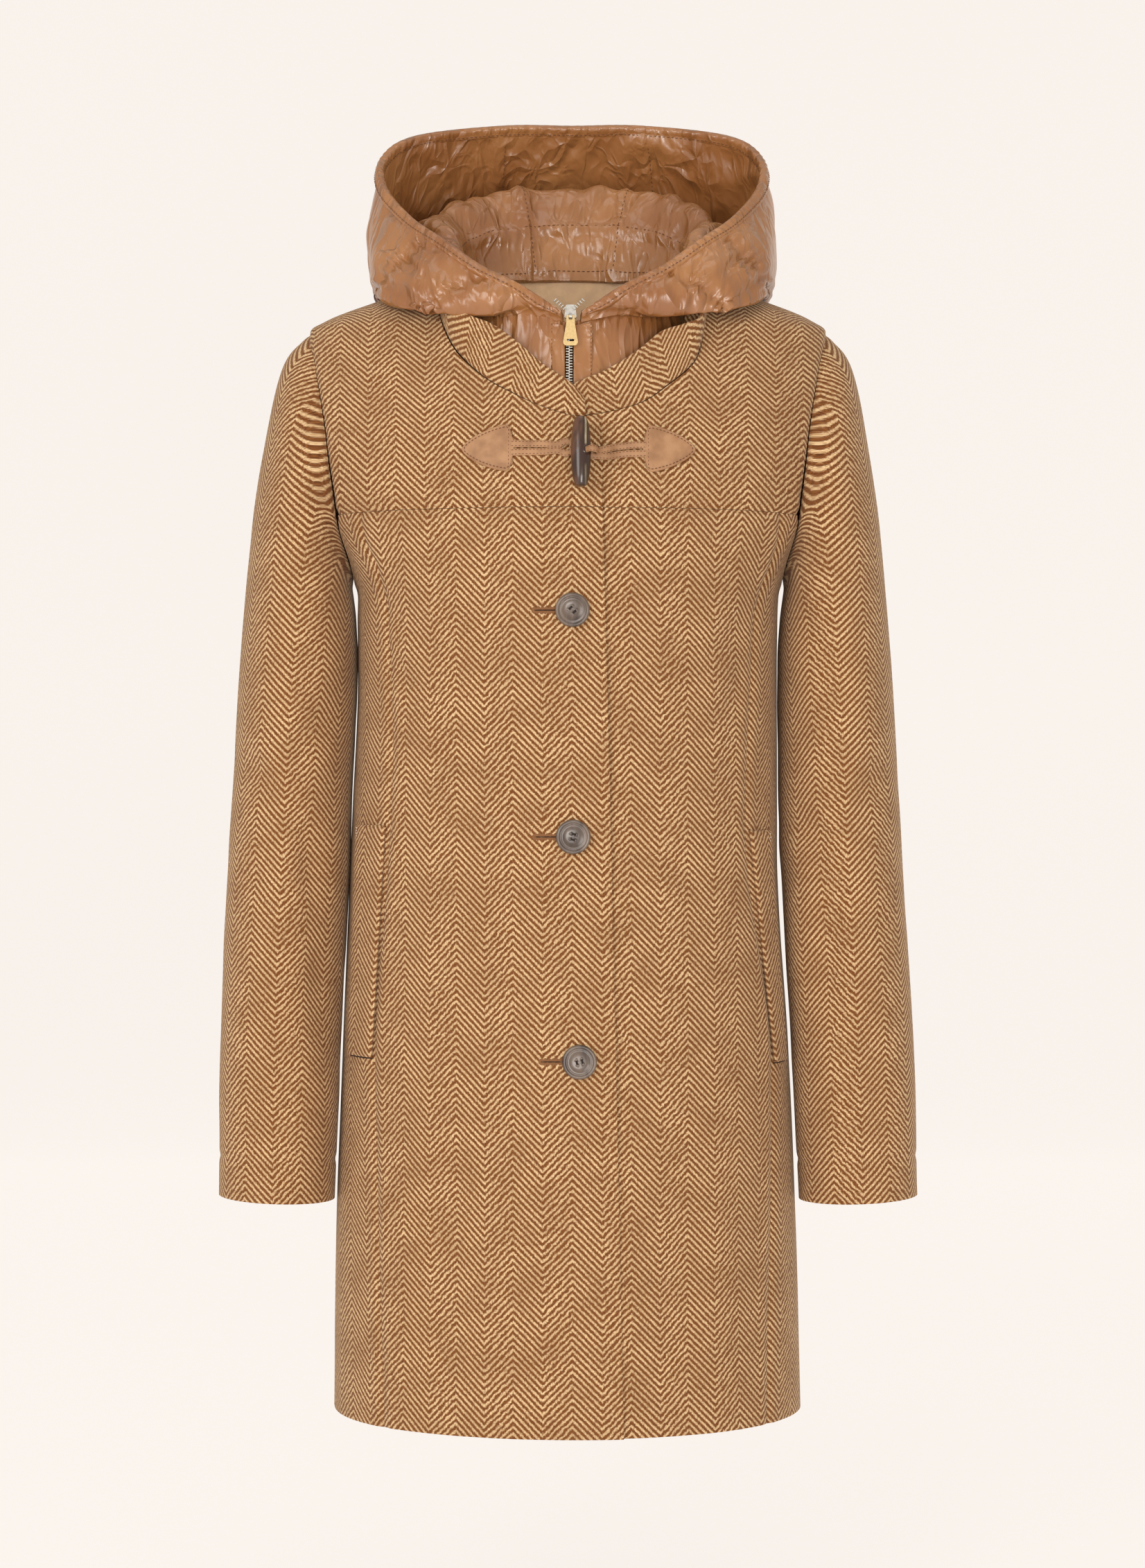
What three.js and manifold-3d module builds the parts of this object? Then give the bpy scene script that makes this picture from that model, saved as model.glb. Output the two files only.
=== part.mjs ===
// A duffle coat in herringbone wool, filled out as if worn but empty.
// It has a stand collar, a horn toggle on leather loops, three buttons, welt pockets, and a padded
// nylon hood with a zipped bib inside the collar.
// Millimetres. +Z is up, the coat's front faces -Y, and +X is the picture's right.
// The origin is where the wearer's neck and shoulders hold the coat.
import * as THREE from "three";
import { mergeVertices } from "three/addons/utils/BufferGeometryUtils.js";
import Module from "manifold-3d";

const wasm = await Module();
wasm.setup();

// Driving dimensions
const WOOL = 2.5; // thickness of the coat cloth
const NYLON = 1.4; // thickness of the bib
const PADDED = 4; // thickness of the padded hood
const SEAM = 0.3; // gap between neighbouring pieces
const ARMHOLE_GAP = 1; // between a sleeve's head and the body, whose edges are both faceted
const LAP = 3.2; // how far the lapped front stands over the one below
const HEM_Z = -870;
const YOKE_Z = -184; // yoke seam
const ARMPIT_Z = -228;
const SHOULDER_TIP_Z = -39;
const ARMHOLE_HALF_DEPTH = 52; // front to back
const COLLAR_LEAN_FRONT = 0.12;
const COLLAR_INSET = 0.3; // of the collar's foot inside the neckline
const COLLAR_RISE = 0.9; // of the collar's foot over the neckline, clear of its facets
const BUTTON_D = 25.4;
const BUTTON_T = 4.2;
const BUTTON_HOLE_D = 2.8;
const BUTTON_HOLE_OFFSET = 2.9; // from the button's middle
const TOGGLE_LENGTH = 53;
const TOGGLE_D = 15;
const TOGGLE_HOLE_D = 5.6;
const TOGGLE_TURN = 0.58; // radians, the hole faces the right-hand loop
const TOGGLE_OUT = 15.8; // toggle axis in front of the cloth
const TOGGLE_X = 6.6;
const TOGGLE_Z = -146.8; // on the cloth below the toggle's middle
const STRAND_W = 4.4; // leather loop
const STRAND_T = 2;
const WELT_T = 3;
const PATCH_T = 2;
const ZIP_X = -2; // middle of the zip
const ZIP_HALF = 3; // half the width of its closed teeth
const BIB_BOTTOM_Z = -160;
const PLACKET_T = 1.1;
const PLACKET_SHARE = { left: 0.083, right: 0.1 }; // of the bib's width
const PULL_AXIS = new THREE.Vector3(-1, -94.5, -39.5); // pin of the zip pull
const EAR_R = 2.1; // slider's ear round the pin
const PIN_HALF = 0.6; // half the pin's thickness
const PULL_LENGTH = 22;
const FACING_HALF = 48; // half the width of the neck facing
const FACING_LOW_Z = -30;
const FACING_TOP_Z = 7;

// Rings of the body, from hem to neck. left and right are the half widths on the picture's left
// and right, front and back the depths, round the exponent of the ring's curve.
const BODY = [
  { z: -870, left: 184, right: 177, front: 133, back: 128, round: 2.2 },
  { z: -740, left: 182, right: 174, front: 132, back: 126, round: 2.2 },
  { z: -600, left: 178, right: 168, front: 130, back: 122, round: 2.2 },
  { z: -430, left: 171, right: 159, front: 126, back: 116, round: 2.25 },
  { z: -300, left: 166, right: 159, front: 122, back: 113, round: 2.3 },
  { z: -245, left: 166, right: 160, front: 119.5, back: 112, round: 2.3 },
  { z: -228, left: 170, right: 164, front: 119, back: 112, round: 2.3 },
  { z: -186, left: 188.5, right: 182, front: 117, back: 111, round: 2.3 },
  { z: -128, left: 202.4, right: 195, front: 109, back: 108, round: 2.4 },
  { z: -77, left: 208.6, right: 201, front: 95, back: 98, round: 2.4 },
  { z: -55, left: 208.2, right: 201, front: 84, back: 90, round: 2.4 },
  { z: -39, left: 204, right: 198, front: 74, back: 82, round: 2.4 },
  { z: -30, left: 191, right: 186, front: 66, back: 76, round: 2.35 },
  { z: -15, left: 152, right: 150, front: 52, back: 70, round: 2.3 },
  { z: 0, left: 105, right: 105, front: 38, back: 67, round: 2.2 },
];

// Neckline from the middle of the front (s 0) to the shoulder seam (s 1), x away from the middle.
const NECKLINE = [
  { s: 0, leftX: 0, leftZ: -117, rightX: 0, rightZ: -117 },
  { s: 0.11, leftX: 24, leftZ: -109, rightX: 30, rightZ: -112 },
  { s: 0.22, leftX: 44, leftZ: -99, rightX: 52, rightZ: -105 },
  { s: 0.35, leftX: 65, leftZ: -86, rightX: 71, rightZ: -92 },
  { s: 0.52, leftX: 90, leftZ: -60, rightX: 95, rightZ: -68 },
  { s: 0.68, leftX: 100, leftZ: -35, rightX: 101, rightZ: -38 },
  { s: 0.85, leftX: 104, leftZ: -12, rightX: 104, rightZ: -12 },
  { s: 1, leftX: 105, leftZ: 0, rightX: 105, rightZ: 0 },
];

const NECKLINE_RATE = 220; // mm of x for each s at the middle of the front

// Princess seam, x away from the middle.
const PRINCESS = [
  { z: -870, left: 141, right: 148 },
  { z: -700, left: 147, right: 152 },
  { z: -595, left: 149, right: 152 },
  { z: -420, left: 137, right: 131 },
  { z: -357, left: 135, right: 133 },
  { z: -306, left: 137, right: 137 },
  { z: -272, left: 139, right: 139 },
  { z: -245, left: 143, right: 143 },
  { z: -222, left: 149, right: 152 },
  { z: -205, left: 157, right: 157 },
  { z: -184, left: 161, right: 159 },
];

// Edge of each front past the middle: the lapped left front shows it, the right one runs under.
const LAP_EDGE = [
  { z: -870, left: 38, right: 25 },
  { z: -184, left: 22.5, right: 25 },
  { z: -117, left: 20, right: 20 },
];

// Rings of a sleeve below the armhole. outer and inner are the two sides in the front view,
// measured from the middle, on the picture's left and right.
const SLEEVE = [
  { leftOut: 225, leftIn: 171.5, rightOut: 217, rightIn: 165.5, outZ: -66, inZ: -238, y: 0, depth: 60 },
  { leftOut: 240, leftIn: 168.5, rightOut: 231, rightIn: 162.5, outZ: -135, inZ: -264, y: -1, depth: 66 },
  { leftOut: 249, leftIn: 168, rightOut: 240, rightIn: 161.5, outZ: -205, inZ: -304, y: -4, depth: 67 },
  { leftOut: 257, leftIn: 169, rightOut: 247, rightIn: 161.5, outZ: -300, inZ: -362, y: -8, depth: 65 },
  { leftOut: 263, leftIn: 173, rightOut: 252.5, rightIn: 162, outZ: -400, inZ: -428, y: -13, depth: 60 },
  { leftOut: 267.5, leftIn: 179, rightOut: 258, rightIn: 168.5, outZ: -500, inZ: -515, y: -18, depth: 56 },
  { leftOut: 271, leftIn: 181.5, rightOut: 264, rightIn: 175, outZ: -605, inZ: -612, y: -22, depth: 52 },
  { leftOut: 272, leftIn: 183.5, rightOut: 266, rightIn: 180, outZ: -704, inZ: -708, y: -25, depth: 48 },
];

// Hood stations from the zip to the middle of the back. Each has five points of the outer cloth:
// neck seam, top of the roll over the collar, bottom of the pouch, its side, and the brim.
const HOOD = [
  {
    neck: [7, -88, -43], roll: [7, -89, -41], pouch: [7.4, -90.5, -39],
    side: [7.7, -91.5, -37], brim: [8, -92, -35],
  },
  {
    neck: [36, -85, -37], roll: [36, -87, -34], pouch: [37, -91, -30],
    side: [38, -93, -23], brim: [38, -90, -15],
  },
  {
    neck: [60, -74, -36], roll: [60, -77, -34], pouch: [63, -90, -39],
    side: [67, -97, -22], brim: [68, -83, 1],
  },
  {
    neck: [79, -52, -14], roll: [87, -56, 3], pouch: [108, -80, -35],
    side: [115, -80, -8], brim: [97, -66, 24],
  },
  {
    neck: [87, -25, -3], roll: [98, -26, 30], pouch: [136, -54, -24],
    side: [144, -46, 8], brim: [123, -38, 46],
  },
  {
    neck: [89, 5, 2], roll: [107, 8, 46], pouch: [148, -8, -9],
    side: [159, 2, 34], brim: [148, 7, 80],
  },
  {
    neck: [80, 30, 6], roll: [102, 42, 60], pouch: [149, 50, -12],
    side: [160, 54, 48], brim: [151, 47, 110],
  },
  {
    neck: [58, 48, 9], roll: [80, 70, 76], pouch: [120, 108, -24],
    side: [134, 116, 50], brim: [126, 76, 133],
  },
  {
    neck: [30, 58, 11], roll: [44, 85, 84], pouch: [60, 138, -30],
    side: [64, 154, 56], brim: [56, 98, 146],
  },
  {
    neck: [0, 61, 12], roll: [0, 90, 86], pouch: [0, 146, -32],
    side: [0, 163, 58], brim: [0, 103, 147],
  },
];
const HOOD_COLUMNS = ["neck", "roll", "pouch", "side", "brim"];
const HOOD_SEAM_STATION = 8; // where the side panels meet the centre panel
const HOOD_COLUMNS_AROUND = 36; // faces round the hood, the same in panels and binding
const HOOD_SEAM_GAP = 0.0003; // share of the way round, half the gap at a hood seam
const BINDING = 8; // width of the binding
const BINDING_PROUD = 0.8; // of the binding over the panels
const BINDING_GAP = 1.2; // between the binding and the panels, which bend sharply near the zip

// Height of the collar along the neckline: the front ends are cut away, and the hood presses it
// down at the side and back.
const COLLAR_HEIGHT = [
  { s: -0.05, height: 12 },
  { s: 0, height: 25 },
  { s: 0.08, height: 31 },
  { s: 0.22, height: 40 },
  { s: 0.32, height: 42 },
  { s: 0.44, height: 28 },
  { s: 0.56, height: 18 },
  { s: 1, height: 20 },
  { s: 2, height: 28 },
];

// Buttons, and how far each is turned from having its holes up, down, left and right.
const BUTTONS = [
  { name: "button_1", x: 0.5, z: -261, turn: 0 },
  { name: "button_2", x: 1, z: -428, turn: 50 },
  { name: "button_3", x: 5.6, z: -593, turn: 50 },
];

const WELTS = {
  left: { topZ: -420, bottomZ: -595, topIn: 139, topOut: 163, bottomIn: 149.5, bottomOut: 169 },
  right: { topZ: -424, bottomZ: -600, topIn: 132.5, topOut: 150, bottomIn: 152.5, bottomOut: 163 },
};

const PATCHES = {
  left: { x: 44.6, length: 37, halfHeight: 18, z: -140.5 },
  right: { x: 54.6, length: 37, halfHeight: 18, z: -140.5 },
};

const wool = new THREE.MeshStandardMaterial({ color: 0xb08a5a, roughness: 0.95 });
const leather = new THREE.MeshStandardMaterial({ color: 0xb8875a, roughness: 0.6 });
const nylon = new THREE.MeshStandardMaterial({ color: 0x9a6b42, roughness: 0.35 });
const horn = new THREE.MeshStandardMaterial({ color: 0x5a4232, roughness: 0.3 });
const metal = new THREE.MeshStandardMaterial({ color: 0xc9b78e, roughness: 0.35, metalness: 1 });
const satin = new THREE.MeshStandardMaterial({ color: 0xd0b088, roughness: 0.4 });

const mix = (a, b, t) => a + (b - a) * t;
const clamp = (v, low, high) => Math.min(high, Math.max(low, v));
const smooth = (t) => {
  const c = clamp(t, 0, 1);
  return c * c * (3 - 2 * c);
};

// A value of a table at x, on a cubic that never overshoots its rows.
function read(table, key, column, x) {
  const last = table.length - 1;
  const rising = table[last][key] > table[0][key];
  const at = clamp(x, rising ? table[0][key] : table[last][key], rising ? table[last][key] : table[0][key]);
  let i = 0;
  while (i < last - 1 && (rising ? at > table[i + 1][key] : at < table[i + 1][key])) i++;
  const step = (k) => table[k + 1][key] - table[k][key];
  const slope = (k) => (table[k + 1][column] - table[k][column]) / step(k);
  const tangent = (k) => {
    if (k === 0) return slope(0);
    if (k === last) return slope(last - 1);
    const [a, b] = [slope(k - 1), slope(k)];
    return a * b <= 0 ? 0 : (2 * a * b) / (a + b);
  };
  const h = step(i);
  const t = (at - table[i][key]) / h;
  const [y0, y1, m0, m1] = [table[i][column], table[i + 1][column], tangent(i) * h, tangent(i + 1) * h];
  return y0 + t * (m0 + t * (3 * (y1 - y0) - 2 * m0 - m1 + t * (m0 + m1 - 2 * (y1 - y0))));
}

const bodyAt = (column, z) => read(BODY, "z", column, z);
const sideName = (side) => (side < 0 ? "left" : "right");
const halfWidth = (x, z) => bodyAt(x < 0 ? "left" : "right", z);

// How far a point lies out from the body's surface, as the ring's own function.
function ringValue({ x, y, z }) {
  const n = bodyAt("round", z);
  const depth = bodyAt(y < 0 ? "front" : "back", z);
  return (Math.abs(x) / halfWidth(x, z)) ** n + (Math.abs(y) / depth) ** n;
}

// The body's outward normal, from the slope of that function.
function bodyNormal(p) {
  const d = 0.5;
  const slope = (axis) => ringValue(p.clone().add(axis)) - ringValue(p.clone().sub(axis));
  const normal = new THREE.Vector3(
    slope(new THREE.Vector3(d, 0, 0)),
    slope(new THREE.Vector3(0, d, 0)),
    slope(new THREE.Vector3(0, 0, d)),
  );
  return normal.normalize();
}

// The point of the front (face -1) or back (face 1) at x and z, moved out along the normal.
function onBody(face, x, z, out = 0) {
  const n = bodyAt("round", z);
  const share = Math.max(0, 1 - (Math.abs(x) / halfWidth(x, z)) ** n);
  const depth = bodyAt(face < 0 ? "front" : "back", z);
  const p = new THREE.Vector3(x, face * (depth * share ** (1 / n) + SEAM / 2), z);
  const normal = bodyNormal(p);
  return { p: p.addScaledVector(normal, out), normal };
}

// The same point by the share a of the quarter ring, 0 in the middle and 1 at the side.
function onRing(face, side, a, z, out = 0) {
  const n = bodyAt("round", z);
  const x = side * bodyAt(sideName(side), z) * Math.sin((clamp(a, 0, 1) * Math.PI) / 2) ** (2 / n);
  return onBody(face, x, z, out);
}

// The share a of the quarter ring at a distance x from the middle.
function ringShare(side, x, z) {
  const n = bodyAt("round", z);
  const ratio = clamp(x / bodyAt(sideName(side), z), 0, 1);
  return (Math.asin(ratio ** (n / 2)) * 2) / Math.PI;
}

// A closed wall: a grid of outer points, the same grid moved in by the thickness, and its rims.
// at(u, v) gives { p, normal }; across wraps round where the piece is a tube.
function wallGeometry(at, columns, rows, thickness, wraps = false) {
  const us = wraps ? columns : columns + 1;
  const position = [];
  for (const depth of [0, thickness])
    for (let j = 0; j <= rows; j++)
      for (let i = 0; i < us; i++) {
        const { p, normal } = at(i / columns, j / rows);
        position.push(...p.clone().addScaledVector(normal, -depth).toArray());
      }
  const layer = us * (rows + 1);
  const id = (k, i, j) => k * layer + j * us + (i % us);
  const index = [];
  const quad = (a, b, c, d) => index.push(a, b, c, a, c, d);
  for (let j = 0; j < rows; j++)
    for (let i = 0; i < columns; i++) {
      quad(id(0, i, j), id(0, i + 1, j), id(0, i + 1, j + 1), id(0, i, j + 1));
      quad(id(1, i, j), id(1, i, j + 1), id(1, i + 1, j + 1), id(1, i + 1, j));
    }
  for (let i = 0; i < columns; i++) {
    quad(id(1, i, 0), id(1, i + 1, 0), id(0, i + 1, 0), id(0, i, 0));
    quad(id(0, i + 1, rows), id(1, i + 1, rows), id(1, i, rows), id(0, i, rows));
  }
  if (!wraps)
    for (let j = 0; j < rows; j++) {
      quad(id(0, 0, j), id(0, 0, j + 1), id(1, 0, j + 1), id(1, 0, j));
      quad(id(1, columns, j + 1), id(0, columns, j + 1), id(0, columns, j), id(1, columns, j));
    }
  return facingOut(position, index);
}

// A geometry from points and triangles, turned so that its faces point out.
function facingOut(position, index) {
  const point = (k) => new THREE.Vector3().fromArray(position, 3 * k);
  let volume = 0;
  for (let k = 0; k < index.length; k += 3)
    volume += point(index[k]).dot(point(index[k + 1]).cross(point(index[k + 2])));
  const faces = [...index];
  if (volume < 0)
    for (let k = 0; k < faces.length; k += 3) {
      [faces[k + 1], faces[k + 2]] = [faces[k + 2], faces[k + 1]];
    }
  const geometry = new THREE.BufferGeometry();
  geometry.setAttribute("position", new THREE.Float32BufferAttribute(position, 3));
  geometry.setIndex(faces);
  geometry.computeVertexNormals();
  return geometry;
}

const coat = new THREE.Group();

function add(name, geometry, material, parent = coat) {
  const mesh = new THREE.Mesh(geometry, material);
  mesh.name = name;
  parent.add(mesh);
  return mesh;
}

// The normal of a surface given as points only, from its own slopes.
function withNormal(point, outward) {
  const d = 1e-3;
  return (u, v) => {
    const du = point(Math.min(1, u + d), v).sub(point(Math.max(0, u - d), v));
    const dv = point(u, Math.min(1, v + d)).sub(point(u, Math.max(0, v - d)));
    return { p: point(u, v), normal: du.cross(dv).multiplyScalar(outward).normalize() };
  };
}

// Height of the armhole's lower edge over a ring share, for the side front and the back.
function armholeFloor(face, side, a) {
  const middle = (ARMPIT_Z + SHOULDER_TIP_Z) / 2;
  const half = (SHOULDER_TIP_Z - ARMPIT_Z) / 2;
  let z = ARMPIT_Z;
  for (let k = 0; k < 12; k++) {
    const y = Math.abs(onRing(face, side, a, z).p.y);
    const ratio = Math.min(1, y / ARMHOLE_HALF_DEPTH);
    z = mix(z, middle - half * Math.sqrt(1 - ratio * ratio), 0.6);
  }
  return Math.min(z, YOKE_Z - 2 * SEAM);
}

// Armhole point at angle (0 at the shoulder, pi at the armpit) on the front or back of a side.
function armhole(side, angle) {
  const z = (ARMPIT_Z + SHOULDER_TIP_Z) / 2 + ((SHOULDER_TIP_Z - ARMPIT_Z) / 2) * Math.cos(angle);
  const face = Math.sin(angle) >= 0 ? -1 : 1;
  const n = bodyAt("round", z);
  const y = ARMHOLE_HALF_DEPTH * Math.abs(Math.sin(angle));
  const depth = bodyAt(face < 0 ? "front" : "back", z);
  const x = bodyAt(sideName(side), z) * (1 - (y / depth) ** n) ** (1 / n);
  return new THREE.Vector3(side * x, face * (y + SEAM / 2), z);
}

// Distance of the armhole from the middle at a height, above the yoke seam.
function armholeX(side, z) {
  const middle = (ARMPIT_Z + SHOULDER_TIP_Z) / 2;
  const half = (SHOULDER_TIP_Z - ARMPIT_Z) / 2;
  return Math.abs(armhole(side, Math.acos(clamp((z - middle) / half, -1, 1))).x);
}

// Height of the shoulder seam at a distance from the middle.
function shoulderZ(side, x) {
  let [low, high] = [SHOULDER_TIP_Z, 0];
  for (let k = 0; k < 30; k++) {
    const z = (low + high) / 2;
    if (bodyAt(sideName(side), z) > x) low = z;
    else high = z;
  }
  return (low + high) / 2;
}

const neckX = (side, s) => read(NECKLINE, "s", sideName(side) + "X", s);
const neckZ = (side, s) => read(NECKLINE, "s", sideName(side) + "Z", s);
const lapEdge = (side, z) => read(LAP_EDGE, "z", sideName(side), z);

// How far the left front is raised over the right one, fading out beside the lap.
const lift = (side, x) => (side < 0 ? LAP * smooth((x + 75) / 40) : 0);

// How far the shoulder seam lies above the straight line from neck to shoulder tip.
function shoulderRise(side, share) {
  const x = mix(neckX(side, 1), armholeX(side, SHOULDER_TIP_Z), share);
  return shoulderZ(side, x) - mix(0, SHOULDER_TIP_Z, share);
}

// Yoke: rows run from the front edge or neckline to the armhole, the last is the shoulder seam.
function yoke(side) {
  const edgeShare = 0.32; // of the rows' inner ends, the part on the front edge
  const at = (u, row) => {
    const v = 1 - (1 - row) ** 1.5;
    const edgeZ = mix(YOKE_Z, neckZ(side, 0), v / edgeShare);
    const onEdge = { x: -lapEdge(side, edgeZ), z: edgeZ };
    const inner = v < edgeShare ? onEdge : neckEnd(side, (v - edgeShare) / (1 - edgeShare));
    const outerZ = mix(YOKE_Z, SHOULDER_TIP_Z, v);
    const outer = { x: armholeX(side, outerZ), z: outerZ };
    const x = mix(inner.x, outer.x, u);
    const z = mix(inner.z, outer.z, u) + shoulderRise(side, u) * smooth((v - 0.6) / 0.4);
    return onBody(-1, side * x, z, lift(side, side * x));
  };
  return wallGeometry(at, 10, 18, WOOL);
}

// Inner end of a yoke row on the neckline, starting at the lapped front's top corner.
function neckEnd(side, share) {
  const start = lapEdge(side, neckZ(side, 0));
  const s = (share - 0.12) / 0.88;
  if (s < 0) return { x: mix(-start, 0, share / 0.12), z: neckZ(side, 0) };
  return { x: neckX(side, s), z: neckZ(side, s) };
}

// Front: from the lap edge to the princess seam, from the hem to the yoke seam.
function front(side) {
  const at = (u, v) => {
    const z = mix(HEM_Z, YOKE_Z - 2 * SEAM, v);
    const x = mix(-lapEdge(side, z), read(PRINCESS, "z", sideName(side), z) - SEAM / 2, u);
    return onBody(-1, side * x, z, lift(side, side * x));
  };
  return wallGeometry(at, 10, 14, WOOL);
}

// Side front: from the princess seam to the side seam, up to the armhole.
function sideFront(side) {
  const at = (u, v) => {
    let z = mix(HEM_Z, ARMPIT_Z, v);
    let a = u;
    for (let k = 0; k < 4; k++) {
      a = mix(ringShare(side, read(PRINCESS, "z", sideName(side), z) + SEAM / 2, z), 1, u);
      z = mix(HEM_Z, armholeFloor(-1, side, a), v);
    }
    return onRing(-1, side, a, z);
  };
  return wallGeometry(at, 6, 14, WOOL);
}

// Back: rows run from side seam or armhole to the other, the last is the shoulders and neck.
function back() {
  const armpitRow = 0.62;
  const at = (u, row) => {
    const side = u < 0.5 ? -1 : 1;
    const share = Math.abs(2 * u - 1);
    const upper = Math.max(0, (row - armpitRow) / (1 - armpitRow));
    const v = 1 - (1 - upper) ** 1.6;
    if (row < armpitRow) return onRing(1, side, share, mix(HEM_Z, ARMPIT_Z, row / armpitRow));
    const edgeZ = mix(ARMPIT_Z, SHOULDER_TIP_Z, v);
    const a = share * ringShare(side, armholeX(side, edgeZ), edgeZ);
    const x = Math.abs(onRing(1, side, a, edgeZ).p.x);
    const tipShare = ringShare(side, armholeX(side, SHOULDER_TIP_Z), SHOULDER_TIP_Z);
    const topX = Math.abs(onRing(1, side, share * tipShare, SHOULDER_TIP_Z).p.x);
    const rise = shoulderZ(side, Math.max(topX, neckX(side, 1))) - SHOULDER_TIP_Z;
    return onBody(1, side * x, edgeZ + rise * smooth((v - 0.35) / 0.65));
  };
  return wallGeometry(at, 20, 18, WOOL);
}

// The same point function with u taken round the tube.
const wrapped = (point) => (u, v) => point(((u % 1) + 1) % 1, v);

// Sleeve: a tube from the armhole through the rings to the cuff, with a soft fold at the elbow.
function sleeve(side) {
  const out = sideName(side) + "Out";
  const inn = sideName(side) + "In";
  const rings = SLEEVE.length;
  const ringPoint = (k, angle) => {
    const row = SLEEVE[k];
    const c = (1 + Math.cos(angle)) / 2;
    const x = side * mix(row[inn], row[out], c);
    const y = row.y - row.depth * Math.sin(angle);
    return new THREE.Vector3(x, y, mix(row.inZ, row.outZ, c));
  };
  const point = (u, v) => {
    const angle = 2 * Math.PI * u;
    const knots = [armhole(side, angle).add(new THREE.Vector3(side * ARMHOLE_GAP, 0, 0))];
    for (let k = 0; k < rings; k++) knots.push(ringPoint(k, angle));
    return through(knots, v);
  };
  return wallGeometry(withNormal(wrapped(point), side), 18, 18, WOOL, true);
}

// A point at share t of a smooth curve through a list of points, evenly in their number.
function through(points, t) {
  const last = points.length - 1;
  const at = clamp(t, 0, 1) * last;
  const i = Math.min(Math.floor(at), last - 1);
  const f = at - i;
  const p1 = points[i];
  const p2 = points[i + 1];
  const p0 = i > 0 ? points[i - 1] : p1.clone().multiplyScalar(2).sub(p2);
  const p3 = i + 1 < last ? points[i + 2] : p2.clone().multiplyScalar(2).sub(p1);
  const cubic = (a, b, c, d) =>
    b + 0.5 * f * (c - a + f * (2 * a - 5 * b + 4 * c - d + f * (3 * (b - c) + d - a)));
  return new THREE.Vector3(
    cubic(p0.x, p1.x, p2.x, p3.x),
    cubic(p0.y, p1.y, p2.y, p3.y),
    cubic(p0.z, p1.z, p2.z, p3.z),
  );
}

// A solid for joining and cutting, and back.
function toSolid(geometry) {
  const plain = geometry.index ? geometry.toNonIndexed() : geometry.clone();
  for (const name of ["normal", "uv"]) plain.deleteAttribute(name);
  const merged = mergeVertices(plain, 1e-4);
  return new wasm.Manifold(
    new wasm.Mesh({
      numProp: 3,
      vertProperties: merged.attributes.position.array,
      triVerts: new Uint32Array(merged.index.array),
    }),
  );
}

function fromSolid(solid) {
  const mesh = solid.getMesh();
  const geometry = new THREE.BufferGeometry();
  geometry.setAttribute("position", new THREE.BufferAttribute(new Float32Array(mesh.vertProperties), 3));
  geometry.setIndex(new THREE.BufferAttribute(new Uint32Array(mesh.triVerts), 1));
  geometry.computeVertexNormals();
  return geometry;
}

// Point of the neckline: s below 0 is past the middle of the front, 1 to 2 is the back.
function necklinePoint(side, s) {
  if (s > 1) return onRing(1, side, 2 - s, 0).p;
  const x = s < 0 ? NECKLINE_RATE * s : neckX(side, s);
  const z = neckZ(side, Math.max(s, 0));
  return onBody(-1, side * x, z, lift(side, side * x)).p;
}

// Stand collar: from the lapped left end round the back to the right end below it.
function collar() {
  const leftEnd = -0.046;
  const rightEnd = -0.009;
  const point = (u, v) => {
    const side = u < 0.5 ? -1 : 1;
    const s = u < 0.5 ? mix(leftEnd, 2, 2 * u) : mix(2, rightEnd, 2 * u - 1);
    const base = necklinePoint(side, s);
    const height = read(COLLAR_HEIGHT, "s", "height", s) * v;
    const lean = mix(COLLAR_LEAN_FRONT, -0.1, smooth((s - 0.22) / 0.4));
    const inward = new THREE.Vector3(-base.x, -base.y, 0).normalize();
    base.addScaledVector(inward, height * lean + COLLAR_INSET);
    return base.add(new THREE.Vector3(0, 0, height + COLLAR_RISE));
  };
  return wallGeometry(withNormal(point, -1), 48, 2, WOOL);
}

// Pocket welt: a band on the side front, standing on its surface.
function welt(side) {
  const w = WELTS[sideName(side)];
  const at = (u, v) => {
    const z = mix(w.bottomZ, w.topZ, v);
    const inner = ringShare(side, mix(w.bottomIn, w.topIn, v), z);
    const outer = ringShare(side, mix(w.bottomOut, w.topOut, v), z);
    return onRing(-1, side, mix(inner, outer, u), z, SEAM + WELT_T);
  };
  return wallGeometry(at, 4, 8, WELT_T);
}

// Leather patch: a rounded triangle whose tip points away from the middle.
function patch(side) {
  const shape = PATCHES[sideName(side)];
  const at = (u, v) => {
    const half = shape.halfHeight * Math.max(0.16, 1 - u ** 1.5) ** 0.75;
    const x = side * (shape.x + shape.length * u);
    return onBody(-1, x, shape.z + half * (2 * v - 1), lift(side, x) + SEAM + PATCH_T);
  };
  return wallGeometry(at, 8, 6, PATCH_T);
}

// Corners of a strand's section, in halves of its width and thickness.
const STRAND_CORNERS = [
  [-1, -0.4],
  [-0.8, -1],
  [0.8, -1],
  [1, -0.4],
  [1, 0.4],
  [0.8, 1],
  [-0.8, 1],
  [-1, 0.4],
];

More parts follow.
